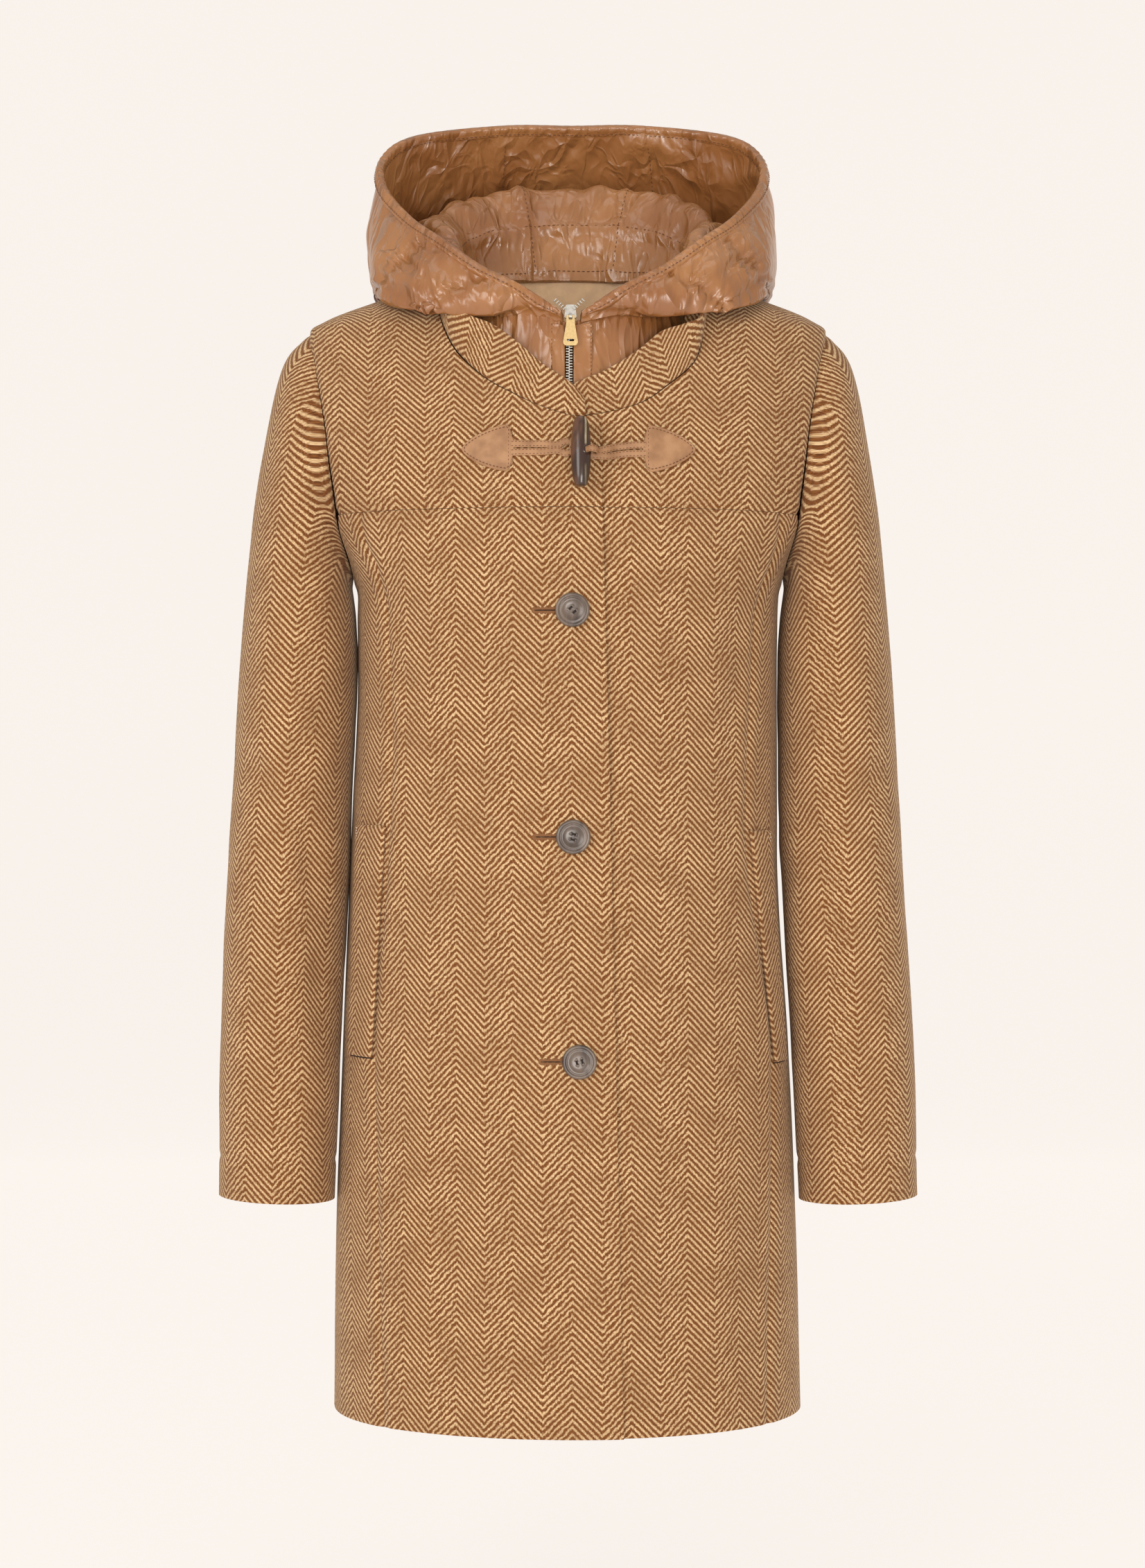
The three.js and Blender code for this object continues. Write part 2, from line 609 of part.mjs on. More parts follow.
// A flat leather strand along a list of { x, z, out } on the front; across(tangent, normal)
// gives the direction of its width.
function strand(route, across, steps) {
  const knots = route.map(([x, z, out]) => onBody(-1, x, z, out).p);
  const point = (t) => through(knots, t);
  const ring = (t) => {
    const p = point(t);
    const tangent = point(Math.min(1, t + 1e-3)).sub(point(Math.max(0, t - 1e-3))).normalize();
    const wide = across(tangent, bodyNormal(p)).normalize();
    const thick = tangent.clone().cross(wide).normalize();
    wide.multiplyScalar(STRAND_W / 2);
    thick.multiplyScalar(STRAND_T / 2);
    return STRAND_CORNERS.map(([a, b]) => p.clone().addScaledVector(wide, a).addScaledVector(thick, b));
  };
  const sides = STRAND_CORNERS.length;
  const position = [];
  for (let k = 0; k <= steps; k++)
    for (const corner of ring(k / steps)) position.push(...corner.toArray());
  const index = [];
  for (let k = 0; k < steps; k++)
    for (let i = 0; i < sides; i++) {
      const [a, b] = [k * sides + i, k * sides + ((i + 1) % sides)];
      index.push(a, b, b + sides, a, b + sides, a + sides);
    }
  for (let i = 1; i < sides - 1; i++) {
    index.push(0, i + 1, i);
    index.push(steps * sides, steps * sides + i, steps * sides + i + 1);
  }
  return facingOut(position, index);
}

// Left loop: two strands side by side on the cloth, turning behind the toggle.
function leftCord() {
  const flat = LAP + SEAM + STRAND_T / 2;
  const out = (x) => lift(-1, x) + SEAM + STRAND_T / 2;
  const [top, bottom, start, turn] = [-137.9, -144.1, -44.2, -5];
  const route = [
    [start, top, out(start)],
    [-32, top, out(-32)],
    [-20, top, flat],
    [turn, top, flat],
    [-1.4, -138.8, flat],
    [0.3, -141, flat],
    [-1.4, -143.2, flat],
    [turn, bottom, flat],
    [-20, bottom, flat],
    [-32, bottom, out(-32)],
    [start, bottom, out(start)],
  ];
  return strand(route, (tangent, normal) => tangent.clone().cross(normal), 26);
}

// Right loop: one strand over the toggle and through its hole, back behind the toggle.
function rightCord() {
  const flat = SEAM + STRAND_T / 2;
  const start = PATCHES.right.x - SEAM;
  const route = [
    [start, -137.9, flat],
    [44, -138.4, flat],
    [34, -139.6, flat + 0.3],
    [27.5, -141.4, 4],
    [21.5, -143.6, 7],
    [18, -145.3, 11.5],
    [18.4, -146.3, 17.5],
    [17.2, TOGGLE_Z, 23.2],
    [14, TOGGLE_Z, 25.3],
    [11.2, TOGGLE_Z, 22.8],
    [8.9, TOGGLE_Z, 19.3],
    [TOGGLE_X, TOGGLE_Z, TOGGLE_OUT],
    [4.3, TOGGLE_Z, 12.3],
    [2.2, TOGGLE_Z, 9.2],
    [1.7, -147, 7.4],
    [3.6, -147.2, 6.8],
    [9, -147.4, 6.9],
    [16, -147.4, 6.6],
    [22, -147.3, 5.3],
    [27.5, -147.1, 3.4],
    [34, -145.6, flat + 0.2],
    [44, -144.6, flat],
    [start, -144.1, flat],
  ];
  return strand(route, () => new THREE.Vector3(0, 0, 1), 48);
}

// Four-hole button: a dished disc with a grooved rim, its axis along +Y, turned by degrees.
function button(turn) {
  const r = BUTTON_D / 2;
  const profile = [
    [0, 0],
    [r - 1.6, 0],
    [r, 1.4],
    [r, BUTTON_T - 1],
    [r - 0.9, BUTTON_T],
    [r - 2.2, BUTTON_T],
    [r - 3, BUTTON_T - 1],
    [r - 4.4, BUTTON_T - 0.7],
    [r - 6, BUTTON_T - 1.4],
    [0, BUTTON_T - 1.6],
  ];
  const disc = new THREE.LatheGeometry(profile.map(([x, y]) => new THREE.Vector2(x, y)), 24);
  const hole = new THREE.CylinderGeometry(BUTTON_HOLE_D / 2, BUTTON_HOLE_D / 2, 3 * BUTTON_T, 8);
  let solid = toSolid(disc);
  for (let k = 0; k < 4; k++) {
    const angle = THREE.MathUtils.degToRad(90 * k + turn);
    const [x, z] = [BUTTON_HOLE_OFFSET * Math.cos(angle), BUTTON_HOLE_OFFSET * Math.sin(angle)];
    solid = solid.subtract(toSolid(hole.clone().translate(x, 0, z)));
  }
  return fromSolid(solid);
}

// Horn toggle: a spindle along +Y with one hole across it, turned to the right-hand loop.
function toggle() {
  const half = TOGGLE_LENGTH / 2;
  const r = TOGGLE_D / 2;
  const profile = [
    [0, -half],
    [0.42 * r, -half + 0.4],
    [0.64 * r, -half + 2],
    [0.82 * r, -half + 8],
    [0.94 * r, -half + 16],
    [r, 0],
    [0.94 * r, half - 16],
    [0.82 * r, half - 8],
    [0.64 * r, half - 2],
    [0.42 * r, half - 0.4],
    [0, half],
  ];
  const spindle = new THREE.LatheGeometry(profile.map(([x, y]) => new THREE.Vector2(x, y)), 20);
  const hole = new THREE.CylinderGeometry(TOGGLE_HOLE_D / 2, TOGGLE_HOLE_D / 2, 2 * TOGGLE_D, 14);
  hole.rotateZ(Math.PI / 2).rotateY(Math.PI / 2 + TOGGLE_TURN);
  const solid = toSolid(spindle).subtract(toSolid(hole));
  return fromSolid(solid).rotateX(Math.PI / 2);
}

// The hood's outer cloth. around runs from the left zip edge (0) over the back (0.5) to the
// right one (1); along runs from the neck seam (0) to the brim (1).
const hoodStations = [
  ...HOOD.map((row) => HOOD_COLUMNS.map((c) => new THREE.Vector3(-row[c][0], row[c][1], row[c][2]))),
  ...HOOD.slice(0, -1).reverse().map((row) => HOOD_COLUMNS.map((c) => new THREE.Vector3(...row[c]))),
];
const hoodPoint = (around, along) =>
  through(hoodStations.map((station) => through(station, along)), around);
const seamShare = HOOD_SEAM_STATION / (hoodStations.length - 1);

// Share of the profile at the binding's lower edge, moved on from it by a gap.
function bindingEdge(around, gap) {
  const steps = 80;
  const whole = hoodPoint(around, 1).distanceTo(hoodPoint(around, 0));
  const width = Math.min(BINDING, 0.5 * whole) - gap;
  let length = 0;
  for (let k = steps; k > 0; k--) {
    const piece = hoodPoint(around, k / steps).distanceTo(hoodPoint(around, (k - 1) / steps));
    if (length + piece >= width) return (k - (width - length) / piece) / steps;
    length += piece;
  }
  return 0;
}

function hoodPanel(from, to, columns) {
  const surface = withNormal(hoodPoint, -1);
  const at = (u, v) => {
    const around = mix(from, to, u);
    return surface(around, v * bindingEdge(around, -BINDING_GAP / 2));
  };
  return wallGeometry(at, columns, 16, PADDED);
}

function hoodBinding() {
  const surface = withNormal(hoodPoint, -1);
  const at = (around, v) => {
    const { p, normal } = surface(around, mix(bindingEdge(around, BINDING_GAP / 2), 1, v));
    return { p: p.addScaledVector(normal, BINDING_PROUD), normal };
  };
  return wallGeometry(at, HOOD_COLUMNS_AROUND, 2, PADDED + 2 * BINDING_PROUD);
}

// Bib: from the hood's neck seam down inside the fronts, its inner edge beside the zip.
function bibPoint(side, u, v) {
  const reach = 4 / (hoodStations.length - 1);
  const top = hoodPoint(side < 0 ? reach * u : 1 - reach * u, 0).add(new THREE.Vector3(0, 0, -1.2));
  const edge = ZIP_HALF + SEAM + side * ZIP_X;
  top.x = side * (Math.abs(top.x) + (edge - Math.abs(HOOD[0].neck[0])) * (1 - u) ** 4);
  const low = new THREE.Vector3(top.x * mix(1, 1.12, u), mix(-106, -62, u * u), BIB_BOTTOM_Z);
  return low.lerp(top, v);
}

const bib = (side) =>
  wallGeometry(withNormal((u, v) => bibPoint(side, u, v), -side), 10, 6, NYLON);

// Band beside the zip, lying on the bib.
function placket(side) {
  const surface = withNormal((u, v) => bibPoint(side, u, v), -side);
  const at = (u, v) => {
    const { p, normal } = surface(u * PLACKET_SHARE[sideName(side)], mix(0.02, 0.97, v));
    return { p: p.addScaledVector(normal, SEAM + PLACKET_T), normal };
  };
  return wallGeometry(at, 2, 6, PLACKET_T);
}

// Closed teeth of the zip, one bar between the bib's edges.
function zipTeeth() {
  const at = (u, v) => {
    const p = bibPoint(1, 0, mix(0, 1.1, v));
    p.x = ZIP_X + ZIP_HALF * (2 * u - 1);
    return { p: p.add(new THREE.Vector3(0, -0.8, 0)), normal: new THREE.Vector3(0, -1, 0) };
  };
  return wallGeometry(at, 2, 6, 2.4);
}

// Zip slider: a plate with a pierced ear.
function slider() {
  const [w, h, t] = [4.5, 5, 3.4];
  const outline = new THREE.Shape();
  outline.moveTo(-w + 1, -h);
  outline.lineTo(w - 1, -h);
  outline.quadraticCurveTo(w, -h, w, -h + 1.5);
  outline.lineTo(w - 0.8, h - 1.5);
  outline.quadraticCurveTo(w - 1, h, w - 2.2, h);
  outline.lineTo(-w + 2.2, h);
  outline.quadraticCurveTo(-w + 1, h, -w + 0.8, h - 1.5);
  outline.lineTo(-w, -h + 1.5);
  outline.quadraticCurveTo(-w, -h, -w + 1, -h);
  const plate = new THREE.ExtrudeGeometry(outline, { depth: t, bevelEnabled: false, curveSegments: 4 });
  plate.rotateX(Math.PI / 2).translate(PULL_AXIS.x, PULL_AXIS.y + 2.5 + t, PULL_AXIS.z + 4);
  const ear = new THREE.CylinderGeometry(EAR_R, EAR_R, 2, 16).rotateZ(Math.PI / 2);
  const web = new THREE.BoxGeometry(2, 3.2, 2 * EAR_R).translate(0, 1.6, 0);
  const pin = new THREE.CylinderGeometry(PIN_HALF * 2, PIN_HALF * 2, 4, 14).rotateZ(Math.PI / 2);
  const at = (g) => g.translate(...PULL_AXIS.toArray());
  const whole = toSolid(plate).add(toSolid(at(ear))).add(toSolid(at(web)));
  return fromSolid(whole.subtract(toSolid(at(pin))));
}

// Pull tab: a flat tab that widens downwards, with the pin bar at its top and a slot below.
function pull() {
  const [top, low, length] = [3, 5.5, PULL_LENGTH];
  const outline = new THREE.Shape();
  outline.moveTo(-top, PIN_HALF);
  outline.lineTo(top, PIN_HALF);
  outline.lineTo(top + 0.3, -6);
  outline.lineTo(low, -length + 3);
  outline.quadraticCurveTo(low, -length, low - 2.5, -length);
  outline.lineTo(-low + 2.5, -length);
  outline.quadraticCurveTo(-low, -length, -low, -length + 3);
  outline.lineTo(-top - 0.3, -6);
  outline.closePath();
  const windowHalf = 1.4;
  const windowPath = new THREE.Path();
  windowPath.moveTo(-windowHalf, -PIN_HALF);
  windowPath.lineTo(-windowHalf, -EAR_R - 0.5);
  windowPath.lineTo(windowHalf, -EAR_R - 0.5);
  windowPath.lineTo(windowHalf, -PIN_HALF);
  windowPath.closePath();
  const slot = new THREE.Path();
  const [slotHalf, slotZ, slotR] = [2, -length + 4, 0.9];
  slot.moveTo(-slotHalf, slotZ - slotR);
  slot.lineTo(slotHalf, slotZ - slotR);
  slot.absarc(slotHalf, slotZ, slotR, -Math.PI / 2, Math.PI / 2, false);
  slot.lineTo(-slotHalf, slotZ + slotR);
  slot.absarc(-slotHalf, slotZ, slotR, Math.PI / 2, (3 * Math.PI) / 2, false);
  outline.holes.push(windowPath, slot);
  const options = { depth: 2 * PIN_HALF, bevelEnabled: false, curveSegments: 4 };
  const tab = new THREE.ExtrudeGeometry(outline, options);
  return tab.translate(0, 0, -PIN_HALF).rotateX(Math.PI / 2);
}

// Neck facing: a strip of satin inside the back neck.
function neckFacing() {
  const at = (u, v) => {
    const z = mix(FACING_LOW_Z, FACING_TOP_Z, v);
    const { p } = onBody(1, mix(-FACING_HALF, FACING_HALF, u), 0);
    const inward = new THREE.Vector3(-p.x, -p.y, 0).normalize();
    p.addScaledVector(inward, WOOL + 5 * SEAM);
    p.z = z;
    return { p, normal: inward.negate() };
  };
  return wallGeometry(at, 8, 4, 1);
}

for (const side of [-1, 1]) {
  const name = sideName(side);
  add("yoke_" + name, yoke(side), wool);
  add("front_" + name, front(side), wool);
  add("side_front_" + name, sideFront(side), wool);
  add("sleeve_" + name, sleeve(side), wool);
  add("pocket_welt_" + name, welt(side), wool);
  add("patch_" + name, patch(side), leather);
  add("bib_" + name, bib(side), nylon);
  add("placket_" + name, placket(side), nylon);
}
add("back", back(), wool);
add("collar", collar(), wool);
add("cord_left", leftCord(), leather);
add("cord_right", rightCord(), leather);
add("neck_facing", neckFacing(), satin);
const sideColumns = Math.round(HOOD_COLUMNS_AROUND * seamShare);
const centreColumns = HOOD_COLUMNS_AROUND - 2 * sideColumns;
const [seamBefore, seamAfter] = [seamShare - HOOD_SEAM_GAP, seamShare + HOOD_SEAM_GAP];
add("hood_left", hoodPanel(0, seamBefore, sideColumns), nylon);
add("hood_centre", hoodPanel(seamAfter, 1 - seamAfter, centreColumns), nylon);
add("hood_right", hoodPanel(1 - seamBefore, 1, sideColumns), nylon);
add("hood_binding", hoodBinding(), nylon);
add("zip_teeth", zipTeeth(), metal);
add("zip_slider", slider(), metal);
add("zip_pull", pull(), metal).position.copy(PULL_AXIS);

for (const { name, x, z, turn } of BUTTONS) {
  const { p, normal } = onBody(-1, x, z, LAP + SEAM);
  const mesh = add(name, button(turn), horn);
  mesh.position.copy(p);
  mesh.quaternion.setFromUnitVectors(new THREE.Vector3(0, 1, 0), normal);
}
const toggleSeat = onBody(-1, TOGGLE_X, TOGGLE_Z, TOGGLE_OUT);
const toggleMesh = add("toggle", toggle(), horn);
toggleMesh.position.copy(toggleSeat.p);
toggleMesh.quaternion.setFromUnitVectors(new THREE.Vector3(0, -1, 0), toggleSeat.normal);

export default coat;
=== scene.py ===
import math

import bpy
import numpy as np
from mathutils import Matrix, Vector


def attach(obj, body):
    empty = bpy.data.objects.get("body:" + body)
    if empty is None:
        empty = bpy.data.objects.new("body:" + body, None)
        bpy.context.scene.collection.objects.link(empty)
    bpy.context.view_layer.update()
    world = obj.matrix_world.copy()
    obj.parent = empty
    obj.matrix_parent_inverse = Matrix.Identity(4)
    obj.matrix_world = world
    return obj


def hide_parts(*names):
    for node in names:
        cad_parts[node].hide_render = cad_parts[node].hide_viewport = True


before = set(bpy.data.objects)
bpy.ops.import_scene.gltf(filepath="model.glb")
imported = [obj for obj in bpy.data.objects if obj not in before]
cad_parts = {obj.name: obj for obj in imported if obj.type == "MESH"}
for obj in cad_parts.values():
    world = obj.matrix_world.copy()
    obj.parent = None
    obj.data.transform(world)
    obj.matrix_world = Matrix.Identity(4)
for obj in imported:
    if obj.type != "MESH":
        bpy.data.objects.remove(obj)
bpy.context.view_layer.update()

# Driving dimensions
WOOL = 0.0025  # thickness of each cloth
NYLON = 0.0014
PADDED = 0.004  # wall of the hood
SEAM = 0.0003  # gap between neighbouring pieces
YOKE_SEAM = 0.0002
PRINCESS_SEAM = 0.00006
ARMHOLE_TUCK = 0.0006  # of the sleeve's head under the body at the seam
LAP = 0.0032  # rise of the left front over the right one
HEM_Z = -0.87
YOKE_Z = -0.184
ARMPIT_Z = -0.228
SHOULDER_TIP_Z = -0.039
ARMHOLE_HALF_DEPTH = 0.052
ARMHOLE_MIDDLE = (ARMPIT_Z + SHOULDER_TIP_Z) / 2
ARMHOLE_HALF = (SHOULDER_TIP_Z - ARMPIT_Z) / 2
COLLAR_LEAN_FRONT = 0.12  # inward for each metre of height
COLLAR_LEAN_BACK = -0.1
COLLAR_INSET = 0.0003
COLLAR_RISE = 0.0003
COLLAR_ENDS = (-0.046, -0.009)  # along the neckline, past the middle of the front
NECKLINE_RATE = 0.22  # metres along the neckline for each whole share
LAPPED_SHARE = 0.12  # of the neck's edge on the lapped corner
GRID = 0.0035  # spacing of the cloth's grids
BACK_COLUMNS = 180
SLEEVE_COLUMNS = 120
COLLAR_COLUMNS = 240
HOOD_COLUMNS = 280
HOOD_ROWS = 140
NECK_BAND_ROW = 15  # row of the seam between the hood and its neck band
EDGE_ANGLE = math.radians(50)  # sharper edges are rounded
HERRINGBONE_COLUMN = 0.022
HERRINGBONE_STRIPE = 0.0051
BUTTON_R = 0.0127
BUTTON_T = 0.0042
BUTTON_HOLE_R = 0.0013
BUTTON_HOLE_OFFSET = 0.0029
TOGGLE_LENGTH = 0.053
TOGGLE_R = 0.0075
TOGGLE_HOLE_R = 0.0028
TOGGLE_OUT = 0.0158
TOGGLE_X = 0.0066
# place across the toggle of its painted highlight, a pale line along its length
TOGGLE_HIGHLIGHT_X = TOGGLE_X + 0.0042
TOGGLE_Z = -0.1468
TOGGLE_TURN = 0.58  # of its hole, in radians
STRAND_W = 0.0053
STRAND_T = 0.002
WELT_T = 0.003
PATCH_T = 0.002
ZIP_X = -0.002
ZIP_HALF = 0.003
ZIP_PITCH = 0.0021
ZIP_TOP_Z = -0.041
BIB_BOTTOM_Z = -0.16
PLACKET_SHARE = {-1: 0.083, 1: 0.1}  # of the bib's width
FLOOR_Z = -1.02
CAMERA_PLACE = (0.0005, -2.3, -0.389)
CAMERA_LENS = 67.8
LAMP_COLOUR = (1.0, 0.97, 0.93)

# Stitches: length, gap, height of their arch and radius of the thread
BAR_TACK = (0.0008, 0.0012, 0.0004, 0.00035)
PATCH_STITCH = (0.0019, 0.0009, 0.00035, 0.00028)
STRAND_STITCH = (0.0017, 0.0009, 0.0002, 0.0002)
HOOD_STITCH = (0.0026, 0.0013, 0.0005, 0.00034)
BINDING_STITCH = (0.0024, 0.0012, 0.0004, 0.00032)
PLACKET_STITCH = (0.002, 0.001, 0.0003, 0.00024)
THREAD_SIDES = 6


def table(columns, rows):
    """A table of measurements as one array for each column."""
    return dict(zip(columns.split(), np.array(rows, float).T))


BODY = table(
    "at left right front back round",
    [
        (-0.87, 0.184, 0.177, 0.133, 0.128, 2.2),
        (-0.74, 0.182, 0.174, 0.132, 0.126, 2.2),
        (-0.6, 0.178, 0.168, 0.13, 0.122, 2.2),
        (-0.43, 0.171, 0.159, 0.126, 0.116, 2.25),
        (-0.3, 0.166, 0.159, 0.122, 0.113, 2.3),
        (-0.245, 0.166, 0.16, 0.1195, 0.112, 2.3),
        (-0.228, 0.17, 0.164, 0.119, 0.112, 2.3),
        (-0.186, 0.1885, 0.182, 0.117, 0.111, 2.3),
        (-0.128, 0.2024, 0.195, 0.109, 0.108, 2.4),
        (-0.077, 0.2086, 0.201, 0.095, 0.098, 2.4),
        (-0.055, 0.2082, 0.201, 0.084, 0.09, 2.4),
        (-0.039, 0.204, 0.198, 0.074, 0.082, 2.4),
        (-0.03, 0.191, 0.186, 0.066, 0.076, 2.35),
        (-0.015, 0.152, 0.15, 0.052, 0.07, 2.3),
        (0, 0.105, 0.105, 0.038, 0.067, 2.2),
    ],
)
NECKLINE = table(
    "at left_x left_z right_x right_z",
    [
        (0, 0, -0.117, 0, -0.117),
        (0.11, 0.024, -0.109, 0.03, -0.112),
        (0.22, 0.044, -0.099, 0.052, -0.105),
        (0.35, 0.065, -0.086, 0.071, -0.092),
        (0.52, 0.09, -0.06, 0.095, -0.068),
        (0.68, 0.1, -0.035, 0.101, -0.038),
        (0.85, 0.104, -0.012, 0.104, -0.012),
        (1, 0.105, 0, 0.105, 0),
    ],
)
PRINCESS = table(
    "at left right",
    [
        (-0.87, 0.141, 0.148),
        (-0.7, 0.147, 0.152),
        (-0.595, 0.149, 0.152),
        (-0.42, 0.137, 0.131),
        (-0.357, 0.135, 0.133),
        (-0.306, 0.137, 0.137),
        (-0.272, 0.139, 0.139),
        (-0.245, 0.143, 0.143),
        (-0.222, 0.149, 0.152),
        (-0.205, 0.157, 0.157),
        (-0.184, 0.161, 0.159),
    ],
)
LAP_EDGE = table(
    "at left right",
    [
        (-0.87, 0.038, 0.025),
        (-0.184, 0.0225, 0.025),
        (-0.117, 0.02, 0.02),
    ],
)
SLEEVE = table(
    "left_out left_in right_out right_in out_z in_z y depth",
    [
        (0.225, 0.1715, 0.217, 0.1655, -0.066, -0.238, 0, 0.06),
        (0.24, 0.1685, 0.231, 0.1625, -0.135, -0.264, -0.001, 0.066),
        (0.249, 0.1672, 0.24, 0.1605, -0.205, -0.304, -0.004, 0.067),
        (0.257, 0.1692, 0.247, 0.1603, -0.3, -0.362, -0.008, 0.065),
        (0.263, 0.1716, 0.2525, 0.161, -0.4, -0.428, -0.013, 0.06),
        (0.2675, 0.1753, 0.258, 0.1655, -0.5, -0.515, -0.018, 0.056),
        (0.271, 0.1792, 0.264, 0.1698, -0.605, -0.612, -0.022, 0.052),
        (0.272, 0.1822, 0.266, 0.1745, -0.704, -0.708, -0.025, 0.048),
    ],
)
COLLAR_HEIGHT = table(
    "at height",
    [
        (-0.05, 0.012),
        (0, 0.025),
        (0.08, 0.031),
        (0.22, 0.04),
        (0.32, 0.043),
        (0.44, 0.036),
        (0.56, 0.026),
        (1, 0.02),
        (2, 0.028),
    ],
)
# Hood stations from the zip to the middle of the back: neck seam, roll, pouch, side and brim
HOOD = np.array(
    [
        ((0.007, -0.088, -0.043), (0.007, -0.089, -0.041), (0.0074, -0.0905, -0.039),
         (0.0077, -0.0915, -0.037), (0.008, -0.092, -0.035)),
        ((0.036, -0.085, -0.037), (0.036, -0.087, -0.034), (0.037, -0.091, -0.03),
         (0.038, -0.093, -0.023), (0.038, -0.09, -0.015)),
        ((0.06, -0.074, -0.036), (0.06, -0.077, -0.034), (0.063, -0.09, -0.039),
         (0.067, -0.097, -0.022), (0.068, -0.083, 0.001)),
        ((0.079, -0.052, -0.014), (0.087, -0.056, 0.003), (0.108, -0.08, -0.035),
         (0.115, -0.08, -0.008), (0.097, -0.066, 0.024)),
        ((0.087, -0.025, -0.003), (0.098, -0.026, 0.03), (0.136, -0.054, -0.024),
         (0.144, -0.046, 0.008), (0.123, -0.038, 0.046)),
        ((0.089, 0.005, 0.002), (0.107, 0.008, 0.046), (0.148, -0.008, -0.009),
         (0.159, 0.002, 0.034), (0.148, 0.007, 0.08)),
        ((0.08, 0.03, 0.006), (0.102, 0.042, 0.06), (0.149, 0.05, -0.012),
         (0.16, 0.054, 0.048), (0.151, 0.047, 0.11)),
        ((0.058, 0.048, 0.009), (0.08, 0.07, 0.076), (0.12, 0.108, -0.024),
         (0.134, 0.116, 0.05), (0.126, 0.076, 0.133)),
        ((0.03, 0.058, 0.011), (0.044, 0.085, 0.084), (0.06, 0.138, -0.03),
         (0.064, 0.154, 0.056), (0.056, 0.098, 0.146)),
        ((0, 0.061, 0.012), (0, 0.09, 0.086), (0, 0.146, -0.032),
         (0, 0.163, 0.058), (0, 0.103, 0.147)),
    ]
)
HOOD_ROUND = np.concatenate([HOOD * (-1, 1, 1), HOOD[-2::-1]])
HOOD_SEAM_COLUMNS = [round(HOOD_COLUMNS * share / 18) for share in (8, 10)]
HOOD_CENTRE = np.array((0.0, 0.04, 0.03))

# Place in the front view and turn of the holes, in radians
BUTTONS = {
    "button_1": (0.0005, -0.261, 0.0),
    "button_2": (0.001, -0.428, 0.87),
    "button_3": (0.0056, -0.593, 0.87),
}
# Heights of the top and the bottom, then the inner and outer x of the top and of the bottom
WELTS = {
    -1: (-0.42, -0.595, 0.139, 0.163, 0.1495, 0.169),
    1: (-0.424, -0.6, 0.1325, 0.15, 0.1525, 0.163),
}
PATCH_X = {-1: 0.0446, 1: 0.0546}  # of the wide end, from the middle
PATCH_LENGTH = 0.037
PATCH_HALF = 0.018
PATCH_Z = -0.1405
SIDE_NAME = {-1: "left", 1: "right"}


# Numbers and surfaces


def mix(a, b, t):
    """The value at share t of the way from a to b."""
    return a + (b - a) * t


def smooth(t):
    """A soft step from 0 to 1."""
    c = np.clip(t, 0, 1)
    return c * c * (3 - 2 * c)


def read(rows, column, at):
    """A table's column at the heights or shares `at`, on a cubic that never overshoots its rows:
    the slope at a row is the harmonic mean of the slopes beside it."""
    xs = rows["at"]
    ys = rows[column]
    step = np.diff(xs)
    slope = np.diff(ys) / step
    total = slope[:-1] + slope[1:]
    product = slope[:-1] * slope[1:]
    inner = np.where(product > 0, 2 * product / np.where(product > 0, total, 1), 0)
    tangent = np.concatenate([slope[:1], inner, slope[-1:]])
    at = np.clip(at, xs[0], xs[-1])
    i = np.clip(np.searchsorted(xs, at, side="right") - 1, 0, len(xs) - 2)
    h = step[i]
    t = (at - xs[i]) / h
    rise = ys[i + 1] - ys[i]
    m0 = tangent[i] * h
    m1 = tangent[i + 1] * h
    return ys[i] + t * (m0 + t * (3 * rise - 2 * m0 - m1 + t * (m0 + m1 - 2 * rise)))


def by_side(rows, side, z, suffix=""):
    """A column that differs between the picture's left (side -1) and right (side 1)."""
    return np.where(np.asarray(side) < 0, read(rows, "left" + suffix, z), read(rows, "right" + suffix, z))


def by_face(y, z):
    """The body's depth towards the front (y below 0) or back."""
    return np.where(np.asarray(y) < 0, read(BODY, "front", z), read(BODY, "back", z))


def point(x, y, z):
    """Coordinates joined as the last axis."""
    return np.stack(np.broadcast_arrays(x, y, z), axis=-1).astype(float)


def unit(v):
    """Vectors at length 1."""
    return v / np.maximum(np.linalg.norm(v, axis=-1, keepdims=True), 1e-12)


def ring_value(p):
    """How far points lie out from the body: |x/width|^n + |y/depth|^n."""
    x, y, z = np.moveaxis(p, -1, 0)
    n = read(BODY, "round", z)
    return (np.abs(x) / by_side(BODY, x, z)) ** n + (np.abs(y) / by_face(y, z)) ** n


def body_normal(p):
    """The outward normal of the body, from the slope of ring_value."""
    step = 0.0005
    slopes = [ring_value(p + step * axis) - ring_value(p - step * axis) for axis in np.eye(3)]
    return unit(np.stack(slopes, axis=-1))


def on_body(face, x, z, out=0.0):
    """Points and normals on the front (face -1) or back (face 1) at x and z, moved out."""
    n = read(BODY, "round", z)
    share = np.maximum(0, 1 - (np.abs(x) / by_side(BODY, x, z)) ** n)
    p = point(x, face * (by_face(face, z) * share ** (1 / n) + SEAM / 2), z)
    normal = body_normal(p)
    return p + normal * np.asarray(out)[..., None], normal


def on_ring(face, side, a, z, out=0.0):
    """The same by the share a of the quarter ring: x = width * sin(a*pi/2)^(2/n)."""
    n = read(BODY, "round", z)
    x = side * by_side(BODY, side, z) * np.sin(np.clip(a, 0, 1) * np.pi / 2) ** (2 / n)
    return on_body(face, x, z, out)


def ring_share(side, x, z):
    """The share a of the quarter ring at a distance x from the middle."""
    ratio = np.clip(x / by_side(BODY, side, z), 0, 1)
    return np.arcsin(ratio ** (read(BODY, "round", z) / 2)) * 2 / np.pi


def lift(side, x):
    """How far the left front is raised over the right one."""
    return np.where(np.asarray(side) < 0, LAP * smooth((x + 0.075) / 0.04), 0.0)


